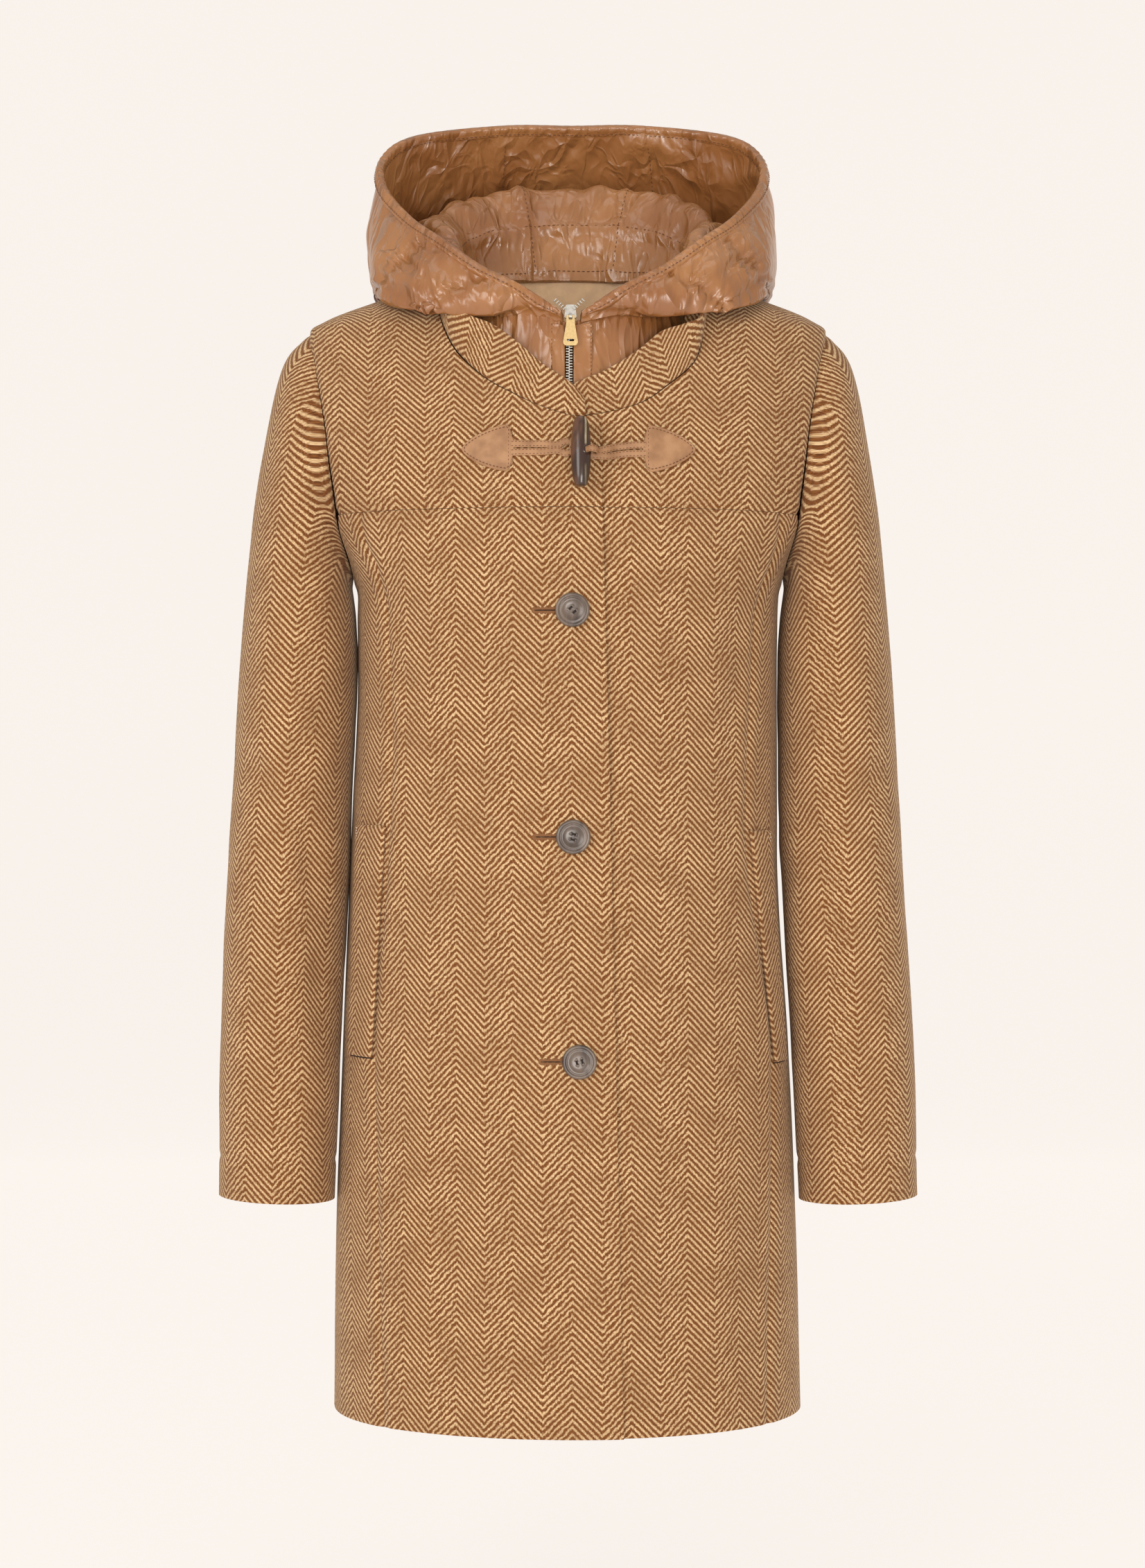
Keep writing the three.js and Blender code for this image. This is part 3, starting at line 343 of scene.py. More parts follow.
def armhole(side, angle):
    """Armhole points: z = middle + half*cos(angle), y = depth*sin(angle), on the body."""
    z = ARMHOLE_MIDDLE + ARMHOLE_HALF * np.cos(angle)
    face = np.where(np.sin(angle) >= 0, -1, 1)
    n = read(BODY, "round", z)
    y = ARMHOLE_HALF_DEPTH * np.abs(np.sin(angle))
    x = by_side(BODY, side, z) * (1 - (y / by_face(face, z)) ** n) ** (1 / n)
    return point(side * x, face * (y + SEAM / 2), z)


def armhole_x(side, z):
    """Distance of the armhole from the middle at a height."""
    angle = np.arccos(np.clip((z - ARMHOLE_MIDDLE) / ARMHOLE_HALF, -1, 1))
    return np.abs(armhole(side, angle)[..., 0])


def armhole_floor(face, side, a):
    """Height of the armhole's lower edge over a ring share, found by repeating."""
    z = ARMPIT_Z + 0 * a
    for _ in range(12):
        y = np.abs(on_ring(face, side, a, z)[0][..., 1])
        ratio = np.minimum(1, y / ARMHOLE_HALF_DEPTH)
        z = mix(z, ARMHOLE_MIDDLE - ARMHOLE_HALF * np.sqrt(1 - ratio**2), 0.6)
    return np.minimum(z, YOKE_Z - YOKE_SEAM)


def shoulder_z(side, x):
    """Height of the shoulder seam at a distance from the middle, by halving."""
    low = SHOULDER_TIP_Z + 0 * x
    high = 0 * x
    for _ in range(30):
        z = (low + high) / 2
        wide = by_side(BODY, side, z) > x
        low = np.where(wide, z, low)
        high = np.where(wide, high, z)
    return (low + high) / 2


def neck_end(side, share):
    """Inner end of a yoke row: first the lapped corner, then along the neckline."""
    neck_z = by_side(NECKLINE, side, 0.0, "_z")
    start = by_side(LAP_EDGE, side, neck_z)
    s = (share - LAPPED_SHARE) / (1 - LAPPED_SHARE)
    x = np.where(s < 0, mix(-start, 0, share / LAPPED_SHARE), by_side(NECKLINE, side, s, "_x"))
    return x, np.where(s < 0, neck_z, by_side(NECKLINE, side, s, "_z"))


def through(knots, share):
    """A smooth curve (Catmull-Rom) through the first axis of knots, at an array of shares."""
    last = len(knots) - 1
    at = np.clip(share, 0, 1) * last
    i = np.minimum(at.astype(int), last - 1)
    f = (at - i).reshape(-1, *[1] * (knots.ndim - 1))
    whole = np.concatenate([2 * knots[:1] - knots[1:2], knots, 2 * knots[-1:] - knots[-2:-1]])
    a, b, c, d = whole[i], whole[i + 1], whole[i + 2], whole[i + 3]
    return b + 0.5 * f * (c - a + f * (2 * a - 5 * b + 4 * c - d + f * (3 * (b - c) + d - a)))


def slopes_normal(points, towards):
    """Normals of a grid of points, the cross product of its slopes along both directions, on the
    side to which the vectors `towards` point."""
    normal = unit(np.cross(np.gradient(points, axis=1), np.gradient(points, axis=0)))
    return -normal if (normal * towards).sum() < 0 else normal


def lattice_noise(p, seed):
    """Soft random values from -1 to 1 at points: hashed whole-number corners, blended."""
    cell = np.floor(p).astype(np.int64)
    t = smooth(p - cell)

    def corner(dx, dy, dz):
        h = (cell + (dx, dy, dz)) @ np.array([374761393, 668265263, 1274126177]) + seed * 974711
        h = ((h ^ (h >> 13)) * 1274126177) & 0x7FFFFFFF
        return ((h ^ (h >> 15)) & 0xFFFF) / 32767.5 - 1

    def layer(dz):
        near = mix(corner(0, 0, dz), corner(1, 0, dz), t[..., 0])
        far = mix(corner(0, 1, dz), corner(1, 1, dz), t[..., 0])
        return mix(near, far, t[..., 1])

    return mix(layer(0), layer(1), t[..., 2])


def eased(length, spacing=GRID):
    """Shares from 0 to 1, about `spacing` apart over a length, closer at both ends."""
    t = np.linspace(0, 1, max(3, int(round(length / spacing)) + 1))
    return t - 0.75 * np.sin(2 * np.pi * t) / (2 * np.pi)


def arcs(points):
    """Lengths along a grid from its first column and from its first row."""
    across = np.linalg.norm(np.diff(points, axis=1), axis=-1)
    along = np.linalg.norm(np.diff(points, axis=0), axis=-1)
    return np.pad(np.cumsum(across, 1), ((0, 0), (1, 0))), np.pad(np.cumsum(along, 0), ((1, 0), (0, 0)))


def edge_distances(points):
    """Distances over a grid from its left, right, bottom and top edges."""
    across, along = arcs(points)
    return {"left": across, "right": across[:, -1:] - across, "bottom": along, "top": along[-1:] - along}


def nearest_edge(points):
    """Distance over a grid from the nearest of its four edges."""
    near = edge_distances(points)
    return np.minimum(np.minimum(near["left"], near["right"]), np.minimum(near["bottom"], near["top"]))


def from_middle(lengths):
    """Lengths over a grid, counted from its middle column."""
    middle = lengths.shape[1] // 2
    return lengths - lengths[:, middle : middle + 1]


def squared_ring(angle, power):
    """A circle pressed towards a square: the cosine and sine, each raised to a power below 1."""
    c = np.cos(angle)
    s = np.sin(angle)
    return np.sign(c) * np.abs(c) ** power, np.sign(s) * np.abs(s) ** power


def line_distance(x, z, start, end):
    """Distance from points to a straight line in the front view, the share along it and its
    length."""
    direction = np.subtract(end, start)
    length = math.hypot(*direction)
    dx = x - start[0]
    dz = z - start[1]
    share = (dx * direction[0] + dz * direction[1]) / length**2
    aside = (dx * direction[1] - dz * direction[0]) / length
    return aside, share, length


def crease_depth(x, z, creases):
    """Depth of creases: depth * exp(-(distance/width)^2) * sin(pi*share)^2, with a
    low ridge beside each."""
    total = 0 * x
    for start, end, depth, width in creases:
        aside, share, _ = line_distance(x, z, start, end)
        taper = np.sin(np.pi * np.clip(share, 0, 1)) ** 1.5
        ridge = 0.45 * np.exp(-(((aside - 1.7 * width) / width) ** 2))
        total = total + depth * taper * (np.exp(-((aside / width) ** 2)) - ridge)
    return total


# Objects


def mesh_object(name, vertices, faces, uv=None, rounded=True):
    """An object at the origin from arrays of points and faces, with a uv for each corner."""
    mesh = bpy.data.meshes.new(name)
    mesh.from_pydata(np.asarray(vertices).tolist(), [], np.asarray(faces).tolist())
    if uv is not None:
        mesh.uv_layers.new(name="cloth").data.foreach_set("uv", np.asarray(uv, float).ravel())
    mesh.polygons.foreach_set("use_smooth", [rounded] * len(mesh.polygons))
    mesh.update()
    obj = bpy.data.objects.new(name, mesh)
    bpy.context.scene.collection.objects.link(obj)
    return obj


def grid_object(name, points, uv, normal, wraps=False):
    """Quads over a (rows, columns) grid of points, facing along normal. A grid that wraps round
    repeats its first column as its last."""
    facing = np.cross(np.gradient(points, axis=1), np.gradient(points, axis=0))
    if (facing * normal).sum() < 0:
        points = points[::-1]
        uv = uv[::-1]
    rows, columns = points.shape[:2]
    kept = columns - 1 if wraps else columns

    def quads(ids):
        corners = [ids[:-1, :-1], ids[:-1, 1:], ids[1:, 1:], ids[1:, :-1]]
        return np.stack(corners, axis=-1).reshape(-1, 4)

    vertex = np.arange(rows)[:, None] * kept + np.arange(columns) % kept
    corner = quads(np.arange(rows * columns).reshape(rows, columns))
    return mesh_object(name, points[:, :kept].reshape(-1, 3), quads(vertex), uv.reshape(-1, 2)[corner])


def thicken(obj, thickness, edge=0.0006):
    """A wall of that thickness inwards from the surface, with softened edges."""
    solid = obj.modifiers.new("thickness", "SOLIDIFY")
    solid.thickness = thickness
    solid.offset = -1
    solid.use_even_offset = False
    bevel = obj.modifiers.new("edges", "BEVEL")
    bevel.width = edge
    bevel.segments = 2
    bevel.limit_method = "ANGLE"
    bevel.angle_limit = EDGE_ANGLE


def finish_piece(obj, material, slot_name, *nodes):
    """A piece's material, the body it rides on and the solids that it stands for. slot_name is not used.
    """
    obj.data.materials.append(material)
    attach(obj, "coat")
    if nodes:
        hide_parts(*nodes)


def declare_sheet(smooth_points):
    """The flat cut of a cloth piece: its greatest width and length, and its area as the sum of the
    grid's cells."""
    across, along = arcs(smooth_points)
    width = float(across[:, -1].max())
    length = float(along[-1].max())
    sides = np.cross(np.diff(smooth_points, axis=1)[:-1], np.diff(smooth_points, axis=0)[:, :-1])
    area = float(np.linalg.norm(sides, axis=-1).sum())
    area = min(max(area, 0.3 * width * length), width * length)


def uneven(points, seed):
    """Soft unevenness of cloth as worn: noise of 0.8 mm over 100 mm, and of 0.28 mm over 30 mm."""
    return 0.0008 * lattice_noise(points / 0.1, seed) + 0.00028 * lattice_noise(points / 0.03, seed + 1)


def seam_dip(distance, depth=0.0013, width=0.0034):
    """The trough beside a sewn seam, depth * exp(-(distance/width)^2), with a low pad beyond."""
    pad = 0.25 * np.exp(-(((distance - 2.4 * width) / width) ** 2))
    return depth * (np.exp(-((distance / width) ** 2)) - pad)


def cloth_panel(name, base, normal, uv, dips, creases, seed):
    """A wool piece: its smooth surface, less seam troughs, creases and unevenness."""
    near = edge_distances(base)
    depth = 1.5 * creases + uneven(base, seed) * fade_to_edges(near, dips)
    for edge in dips:
        depth = depth + seam_dip(near[edge])
    points = base - normal * np.asarray(depth)[..., None]
    obj = grid_object(name + "_cloth", points, uv, normal)
    thicken(obj, WOOL, 0.0003)
    finish_piece(obj, WOOL_CLOTH, "herringbone_wool", name)
    declare_sheet(base)


def fade_to_edges(near, edges):
    """1 over a piece and 0 at its seams, so that neighbours meet."""
    fade = 1.0
    for edge in edges:
        fade = fade * smooth(near[edge] / 0.02)
    return fade


# Materials


def srgb(red, green, blue):
    """A colour read off a picture, 0 to 255, as the shader's linear values."""
    share = np.array([red, green, blue]) / 255
    linear = np.where(share <= 0.04045, share / 12.92, ((share + 0.055) / 1.055) ** 2.4)
    return (*linear.tolist(), 1.0)


class Shader:
    """A material's node tree, built up by short calls that return output sockets."""

    def __init__(self, name):
        self.material = bpy.data.materials.new(name)
        self.material.use_nodes = True
        self.tree = self.material.node_tree
        self.surface = next(n for n in self.tree.nodes if n.type == "BSDF_PRINCIPLED")

    def node(self, kind, inputs=None, **settings):
        node = self.tree.nodes.new(kind)
        for key, value in settings.items():
            setattr(node, key, value)
        for key, value in (inputs or {}).items():
            self.put(node.inputs[key], value)
        return node

    def put(self, socket, value):
        if isinstance(value, bpy.types.NodeSocket):
            self.tree.links.new(value, socket)
        else:
            socket.default_value = value

    def set(self, **values):
        for key, value in values.items():
            self.put(self.surface.inputs[key.replace("_", " ")], value)
        return self

    def math(self, operation, a, b=0.0, c=0.0, clamp=False):
        node = self.node("ShaderNodeMath", {0: a, 1: b, 2: c}, operation=operation, use_clamp=clamp)
        return node.outputs[0]

    def noise(self, scale, detail=2.0, roughness=0.5, vector=None, distortion=0.0):
        inputs = {"Scale": scale, "Detail": detail, "Roughness": roughness, "Distortion": distortion}
        inputs["Vector"] = vector or self.object_coordinates()
        return self.node("ShaderNodeTexNoise", inputs).outputs[0]

    def object_coordinates(self):
        return self.node("ShaderNodeTexCoord").outputs["Object"]

    def uv(self):
        node = self.node("ShaderNodeUVMap", uv_map="cloth")
        parts = self.node("ShaderNodeSeparateXYZ", {0: node.outputs[0]})
        return parts.outputs[0], parts.outputs[1]

    def combine(self, x, y, z=0.0):
        return self.node("ShaderNodeCombineXYZ", {0: x, 1: y, 2: z}).outputs[0]

    def between(self, value, low, high, out_low=0.0, out_high=1.0):
        inputs = {0: value, 1: low, 2: high, 3: out_low, 4: out_high}
        return self.node("ShaderNodeMapRange", inputs, interpolation_type="SMOOTHSTEP").outputs[0]

    def mix_colour(self, share, a, b):
        node = self.node("ShaderNodeMix", {0: share, 6: a, 7: b}, data_type="RGBA")
        return node.outputs[2]

    def bump(self, height, strength, distance):
        inputs = {"Height": height, "Strength": strength, "Distance": distance}
        self.put(self.surface.inputs["Normal"], self.node("ShaderNodeBump", inputs).outputs[0])


def herringbone():
    """Cream zigzag stripes on brown: phase = (v + W*pingpong(u/W)) / P, roughened by fibres."""
    s = Shader("herringbone wool")
    u, v = s.uv()
    across = s.combine(u, v)
    brushed = s.combine(u, s.math("MULTIPLY", v, 0.5))
    drift = s.math("SUBTRACT", s.noise(200.0, 3.0, vector=across), 0.5)
    fibre = s.math("SUBTRACT", s.noise(750.0, 3.0, 0.75, vector=brushed), 0.5)
    u_worn = s.math("MULTIPLY_ADD", drift, 0.0026, u)
    v_worn = s.math("MULTIPLY_ADD", drift, -0.0022, v)
    zigzag = s.math("PINGPONG", s.math("DIVIDE", u_worn, HERRINGBONE_COLUMN), 1.0)
    height = s.math("MULTIPLY_ADD", zigzag, HERRINGBONE_COLUMN, v_worn)
    wave = s.math("SINE", s.math("MULTIPLY", height, 2 * math.pi / HERRINGBONE_STRIPE))
    rough_wave = s.math("MULTIPLY_ADD", fibre, 4.6, wave)
    stripe = s.between(rough_wave, -0.6, 1.1)
    speckle = s.noise(1400.0, 2.0, 0.6, vector=across)
    blotch = s.noise(35.0, 2.0, vector=across)
    brown = s.mix_colour(s.between(speckle, 0.35, 0.7), srgb(88, 46, 18), srgb(146, 90, 44))
    cream = s.mix_colour(s.between(speckle, 0.3, 0.65), srgb(182, 138, 90), srgb(240, 210, 164))
    cloth = s.mix_colour(stripe, brown, cream)
    shaded = s.mix_colour(s.between(blotch, 0.3, 0.75, 0.0, 0.32), cloth, srgb(120, 76, 40))
    fuzz = s.math("ADD", s.math("MULTIPLY", stripe, 0.5), s.math("MULTIPLY", speckle, 0.9))
    s.set(Base_Color=shaded, Roughness=0.93, Sheen_Weight=0.2, Sheen_Roughness=0.5)
    s.set(Sheen_Tint=srgb(255, 236, 210), Specular_IOR_Level=0.2)
    s.bump(fuzz, 0.6, 0.0006)
    return s.material


def folds(s, scale, turn):
    """Sharp folds along one direction: 1 - |2 * noise - 1|, of a noise stretched along it."""
    inputs = {"Vector": s.object_coordinates(), "Rotation": turn, "Scale": (1.0, 1.0, 0.35)}
    where = s.node("ShaderNodeMapping", inputs).outputs[0]
    value = s.noise(scale, 1.0, vector=where, distortion=0.7)
    away = s.math("ABSOLUTE", s.math("MULTIPLY_ADD", value, 2.0, -1.0))
    return s.math("SUBTRACT", 1.0, away)


def nylon():
    """Shiny brown nylon: smooth facets between sharp folds that cross each other."""
    s = Shader("brown nylon")
    crossed = s.math("MAXIMUM", folds(s, 26.0, (0.0, 0.8, 0.2)), folds(s, 32.0, (0.3, -0.9, 0.0)))
    height = s.math("MULTIPLY_ADD", folds(s, 80.0, (0.2, 0.3, 0.0)), 0.22, crossed)
    tone = s.noise(14.0, 2.0)
    colour = s.mix_colour(s.between(tone, 0.3, 0.7), srgb(146, 93, 50), srgb(170, 116, 68))
    s.set(Base_Color=colour, Roughness=0.3, Specular_IOR_Level=0.8)
    s.set(Sheen_Weight=0.12, Sheen_Roughness=0.3, Sheen_Tint=srgb(255, 210, 150))
    s.bump(height, 0.7, 0.012)
    return s.material


def leather():
    """Tan leather with a fine grain."""
    s = Shader("tan leather")
    cells = s.node("ShaderNodeTexVoronoi", {"Vector": s.object_coordinates(), "Scale": 1500.0})
    tone = s.noise(90.0, 3.0)
    colour = s.mix_colour(s.between(tone, 0.3, 0.7), srgb(150, 108, 73), srgb(176, 132, 94))
    s.set(Base_Color=colour, Roughness=0.55, Specular_IOR_Level=0.4)
    s.bump(cells.outputs[0], 0.25, 0.0002)
    return s.material


def horn(name, dark, pale, low, high, roughness, scale, highlight_x=None):
    """Horn with cloudy streaks along its length. The painted highlight is a pale line at a place across
    it.
    """
    s = Shader(name)
    stretch = s.node("ShaderNodeMapping", {"Vector": s.object_coordinates(), "Scale": (1.0, 1.0, 0.25)})
    cloud = s.noise(scale, 3.0, 0.55, vector=stretch.outputs[0], distortion=0.8)
    colour = s.mix_colour(s.between(cloud, low, high), dark, pale)
    if highlight_x:
        place = s.node("ShaderNodeSeparateXYZ", {0: s.object_coordinates()})
        wander = s.math("MULTIPLY_ADD", cloud, 0.0012, place.outputs[0])
        aside = s.math("ABSOLUTE", s.math("SUBTRACT", wander, highlight_x))
        away = s.math("ABSOLUTE", s.math("SUBTRACT", place.outputs[2], TOGGLE_Z))
        # Painted highlight: a pale line at that place, left out near the middle of the length and broken
        # by the cloud
        line = s.between(aside, 0.0004, 0.001, 1.0, 0.0)
        line = s.math("MULTIPLY", line, s.between(away, 0.006, 0.009))
        line = s.math("MULTIPLY", line, s.between(cloud, 0.4, 0.6, 0.1, 1.0))
        colour = s.mix_colour(line, colour, srgb(206, 190, 150))
    s.set(Base_Color=colour, Roughness=roughness, Specular_IOR_Level=0.6)
    s.set(Coat_Weight=0.15, Coat_Roughness=0.15)
    return s.material


def plain(name, colour, roughness, metallic=0.0, grain=600.0, depth=0.00005):
    """A plain finish with a fine unevenness."""
    s = Shader(name)
    tone = s.noise(grain, 2.0)
    darker = tuple(0.85 * c for c in colour[:3]) + (1.0,)
    s.set(Base_Color=s.mix_colour(s.between(tone, 0.3, 0.7), darker, colour))
    s.set(Roughness=roughness, Metallic=metallic)
    s.bump(tone, 0.3, depth)
    return s.material


def thread(name, colour, roughness=0.8):
    """Sewing thread: a plain finish with a very fine grain."""
    return plain(name, colour, roughness, grain=2500.0)


WOOL_CLOTH = herringbone()
NYLON_CLOTH = nylon()
LEATHER = leather()
TOGGLE_HORN = horn("dark horn", srgb(54, 33, 22), srgb(98, 64, 44), 0.5, 0.72, 0.26, 60.0, TOGGLE_HIGHLIGHT_X)
BUTTON_HORN = horn("button horn", srgb(60, 48, 41), srgb(112, 95, 82), 0.3, 0.7, 0.32, 90.0)
SATIN = plain("tan satin", srgb(232, 190, 142), 0.4, grain=120.0, depth=0.0008)
SILVER = plain("silver zip", srgb(186, 182, 174), 0.4, metallic=0.9)
PALE_GOLD = plain("pale gold", srgb(206, 178, 126), 0.4, metallic=0.9)
THREAD = thread("brown thread", srgb(104, 62, 36))
BUTTONHOLE_THREAD = thread("buttonhole thread", srgb(136, 90, 52))
BUTTON_THREAD = thread("dark thread", srgb(48, 38, 32))
# Darker than the nylon: the thread's colour with painted shade for the small shadows of its stitches
NYLON_THREAD_PAINTED_SHADE = thread("nylon thread with painted shade", srgb(112, 70, 40), 0.6)
PALE_THREAD = thread("pale thread", srgb(232, 222, 206))
# Painted shade: the colour of the dark threads laid below the welts and in the buttonholes' slits
PAINTED_SLIT_SHADE = plain("painted slit shade", srgb(42, 26, 18), 0.9, grain=400.0)


# Coat panels

# Creases in the front view: start, end, depth and width. Sides -1 and 1, and 0 for the back
CREASES = {
    -1: [
        ((-0.165, -0.235), (-0.085, -0.3), 0.0016, 0.011),
        ((-0.155, -0.26), (-0.1, -0.345), 0.0012, 0.01),
        ((-0.02, -0.262), (-0.1, -0.29), 0.0009, 0.01),
        ((-0.022, -0.43), (-0.11, -0.415), 0.0009, 0.013),
        ((-0.05, -0.36), (-0.135, -0.385), 0.001, 0.014),
        ((-0.02, -0.6), (-0.075, -0.7), 0.001, 0.016),
        ((-0.085, -0.62), (-0.105, -0.9), 0.0024, 0.028),
        ((-0.15, -0.6), (-0.155, -0.9), 0.0018, 0.022),
        ((-0.03, -0.7), (-0.04, -0.92), 0.0016, 0.024),
        ((-0.17, -0.1), (-0.12, -0.17), 0.001, 0.013),
    ],
    1: [
        ((0.16, -0.24), (0.09, -0.315), 0.0015, 0.011),
        ((0.15, -0.268), (0.11, -0.35), 0.0012, 0.01),
        ((0.03, -0.275), (0.1, -0.262), 0.0008, 0.012),
        ((0.03, -0.43), (0.1, -0.455), 0.001, 0.013),
        ((0.035, -0.5), (0.12, -0.52), 0.0008, 0.016),
        ((0.075, -0.61), (0.088, -0.9), 0.0024, 0.028),
        ((0.14, -0.65), (0.14, -0.9), 0.0016, 0.022),
        ((0.17, -0.1), (0.12, -0.165), 0.001, 0.013),
    ],
    0: [
        ((-0.165, -0.24), (-0.08, -0.33), 0.0018, 0.013),
        ((0.16, -0.235), (0.075, -0.32), 0.0018, 0.013),
        ((-0.12, -0.4), (-0.01, -0.43), 0.0012, 0.018),
        ((0.115, -0.39), (0.02, -0.45), 0.0012, 0.018),
        ((-0.06, -0.5), (-0.085, -0.92), 0.0028, 0.034),
        ((0.055, -0.52), (0.08, -0.92), 0.0026, 0.034),
        ((0.0, -0.6), (-0.005, -0.92), 0.0018, 0.03),
        ((-0.13, -0.06), (-0.05, -0.12), 0.0012, 0.016),
        ((0.13, -0.06), (0.05, -0.12), 0.0012, 0.016),
    ],
}


def front_panel(side):
    """A front from the hem to the yoke seam, and from the lap's edge to the princess seam."""
    name = "front_" + SIDE_NAME[side]
    v = eased(0.69)[:, None]
    u = eased(0.19)[None, :]
    z = mix(HEM_Z, YOKE_Z - YOKE_SEAM, v) + 0 * u
    edge = by_side(LAP_EDGE, side, z)
    x = mix(-edge, by_side(PRINCESS, side, z) - PRINCESS_SEAM / 2, u)
    base, normal = on_body(-1, side * x, z, lift(side, side * x))
    across, _ = arcs(base)
    uv = np.stack([side * (across - edge[:, :1]), z], axis=-1)
    creases = crease_depth(side * x, z, CREASES[side]) * smooth((x + 0.01) / 0.03)
    cloth_panel(name, base, normal, uv, ("right", "top"), creases, 3 + side)


def side_front_panel(side):
    """From the princess seam to the side seam, at equal shares of the ring, up to the armhole."""
    name = "side_front_" + SIDE_NAME[side]
    v = eased(0.65)[:, None]
    u = eased(0.16)[None, :]
    z = mix(HEM_Z, ARMPIT_Z, v) + 0 * u
    for _ in range(4):
        a = mix(ring_share(side, by_side(PRINCESS, side, z) + PRINCESS_SEAM / 2, z), 1, u)
        z = mix(HEM_Z, armhole_floor(-1, side, a), v)
    base, normal = on_ring(-1, side, a, z)
    across, _ = arcs(base)
    uv = np.stack([side * (across + 0.008), z + 0.002], axis=-1)
    creases = crease_depth(base[..., 0], z, CREASES[side])
    cloth_panel(name, base, normal, uv, ("left", "right", "top"), creases, 7 + side)


def yoke_panel(side):
    """Rows from the lap's edge and the neckline out to the armhole, raised to the shoulder seam."""
    name = "yoke_" + SIDE_NAME[side]
    edge_share = 0.32
    v = eased(0.17, 0.003)[:, None]
    u = eased(0.2)[None, :]
    neck_z = by_side(NECKLINE, side, 0.0, "_z")
    low_z = mix(YOKE_Z, neck_z, v / edge_share)
    end_x, end_z = neck_end(side, (v - edge_share) / (1 - edge_share))
    inner_x = np.where(v < edge_share, -by_side(LAP_EDGE, side, low_z), end_x)
    inner_z = np.where(v < edge_share, low_z, end_z)
    outer_z = mix(YOKE_Z, SHOULDER_TIP_Z, v)
    shoulder_x = mix(by_side(NECKLINE, side, 1.0, "_x"), armhole_x(side, SHOULDER_TIP_Z), u)
    rise = shoulder_z(side, shoulder_x) - mix(0, SHOULDER_TIP_Z, u)
    x = mix(inner_x, armhole_x(side, outer_z), u)
    z = mix(inner_z, outer_z, u) + rise * smooth((v - 0.6) / 0.4)
    base, normal = on_body(-1, side * x, z, lift(side, side * x))
    _, along = arcs(base * (0, 1, 1))
    uv = np.stack([base[..., 0], YOKE_Z + along + 0.0016], axis=-1)
    creases = crease_depth(side * x, z, CREASES[side])
    cloth_panel(name, base, normal, uv, ("right", "top", "bottom"), creases, 11 + side)


def back_panel():
    """Equal shares of the back's ring below the armpits, narrowed to the armholes above them and
    raised to the shoulder seams."""
    armpit_row = 0.62
    row = eased(0.92, 0.004)[:, None]
    u = np.linspace(0, 1, BACK_COLUMNS + 1)[None, :]
    side = np.where(u < 0.5, -1, 1)
    share = np.abs(2 * u - 1)
    upper = np.maximum(0, (row - armpit_row) / (1 - armpit_row))
    v = 1 - (1 - upper) ** 1.6
    below = row < armpit_row
    low_z = mix(HEM_Z, ARMPIT_Z, np.minimum(1, row / armpit_row)) + 0 * u
    edge_z = mix(ARMPIT_Z, SHOULDER_TIP_Z, v) + 0 * u
    a = share * ring_share(side, armhole_x(side, edge_z), edge_z)
    upper_x = np.abs(on_ring(1, side, a, edge_z)[0][..., 0])
    tip_z = SHOULDER_TIP_Z + 0 * u
    tip_share = ring_share(side, armhole_x(side, tip_z), tip_z)
    top_x = np.abs(on_ring(1, side, share * tip_share, tip_z)[0][..., 0])
    rise = shoulder_z(side, np.maximum(top_x, 0.105)) - SHOULDER_TIP_Z
    high_z = edge_z + rise * smooth((v - 0.35) / 0.65)
    low_x = np.abs(on_ring(1, side, share + 0 * row, low_z)[0][..., 0])
    x = side * np.where(below, low_x, upper_x)
    z = np.where(below, low_z, high_z)
    base, normal = on_body(1, x, z)
    across, along = arcs(base)
    middle = BACK_COLUMNS // 2
    uv = np.stack([from_middle(across), HEM_Z + along[:, middle : middle + 1] + 0 * x], axis=-1)
    creases = crease_depth(x, z, CREASES[0])
    cloth_panel("back", base, normal, uv, ("left", "right", "top"), creases, 17)


# Soft folds of the sleeves in the front view, at x away from the middle, the same on the back
SLEEVE_CREASES = {
    -1: [
        ((0.203, -0.4), (0.19, -0.5), 0.0032, 0.012),
        ((0.192, -0.47), (0.184, -0.63), 0.0036, 0.013),
        ((0.262, -0.36), (0.215, -0.41), 0.0022, 0.012),
        ((0.175, -0.33), (0.22, -0.375), 0.002, 0.012),
        ((0.26, -0.47), (0.215, -0.445), 0.0018, 0.014),
        ((0.215, -0.56), (0.235, -0.71), 0.0018, 0.016),
        ((0.18, -0.26), (0.215, -0.32), 0.0018, 0.011),
        ((0.19, -0.215), (0.225, -0.3), 0.0014, 0.012),
    ],
    1: [
        ((0.165, -0.405), (0.2, -0.45), 0.0028, 0.012),
        ((0.25, -0.37), (0.205, -0.42), 0.0024, 0.013),
        ((0.2, -0.45), (0.185, -0.58), 0.003, 0.014),
        ((0.25, -0.49), (0.21, -0.5), 0.0018, 0.013),
        ((0.22, -0.55), (0.235, -0.7), 0.002, 0.017),
        ((0.17, -0.255), (0.205, -0.315), 0.0018, 0.011),
        ((0.18, -0.3), (0.215, -0.34), 0.0016, 0.011),
    ],
}


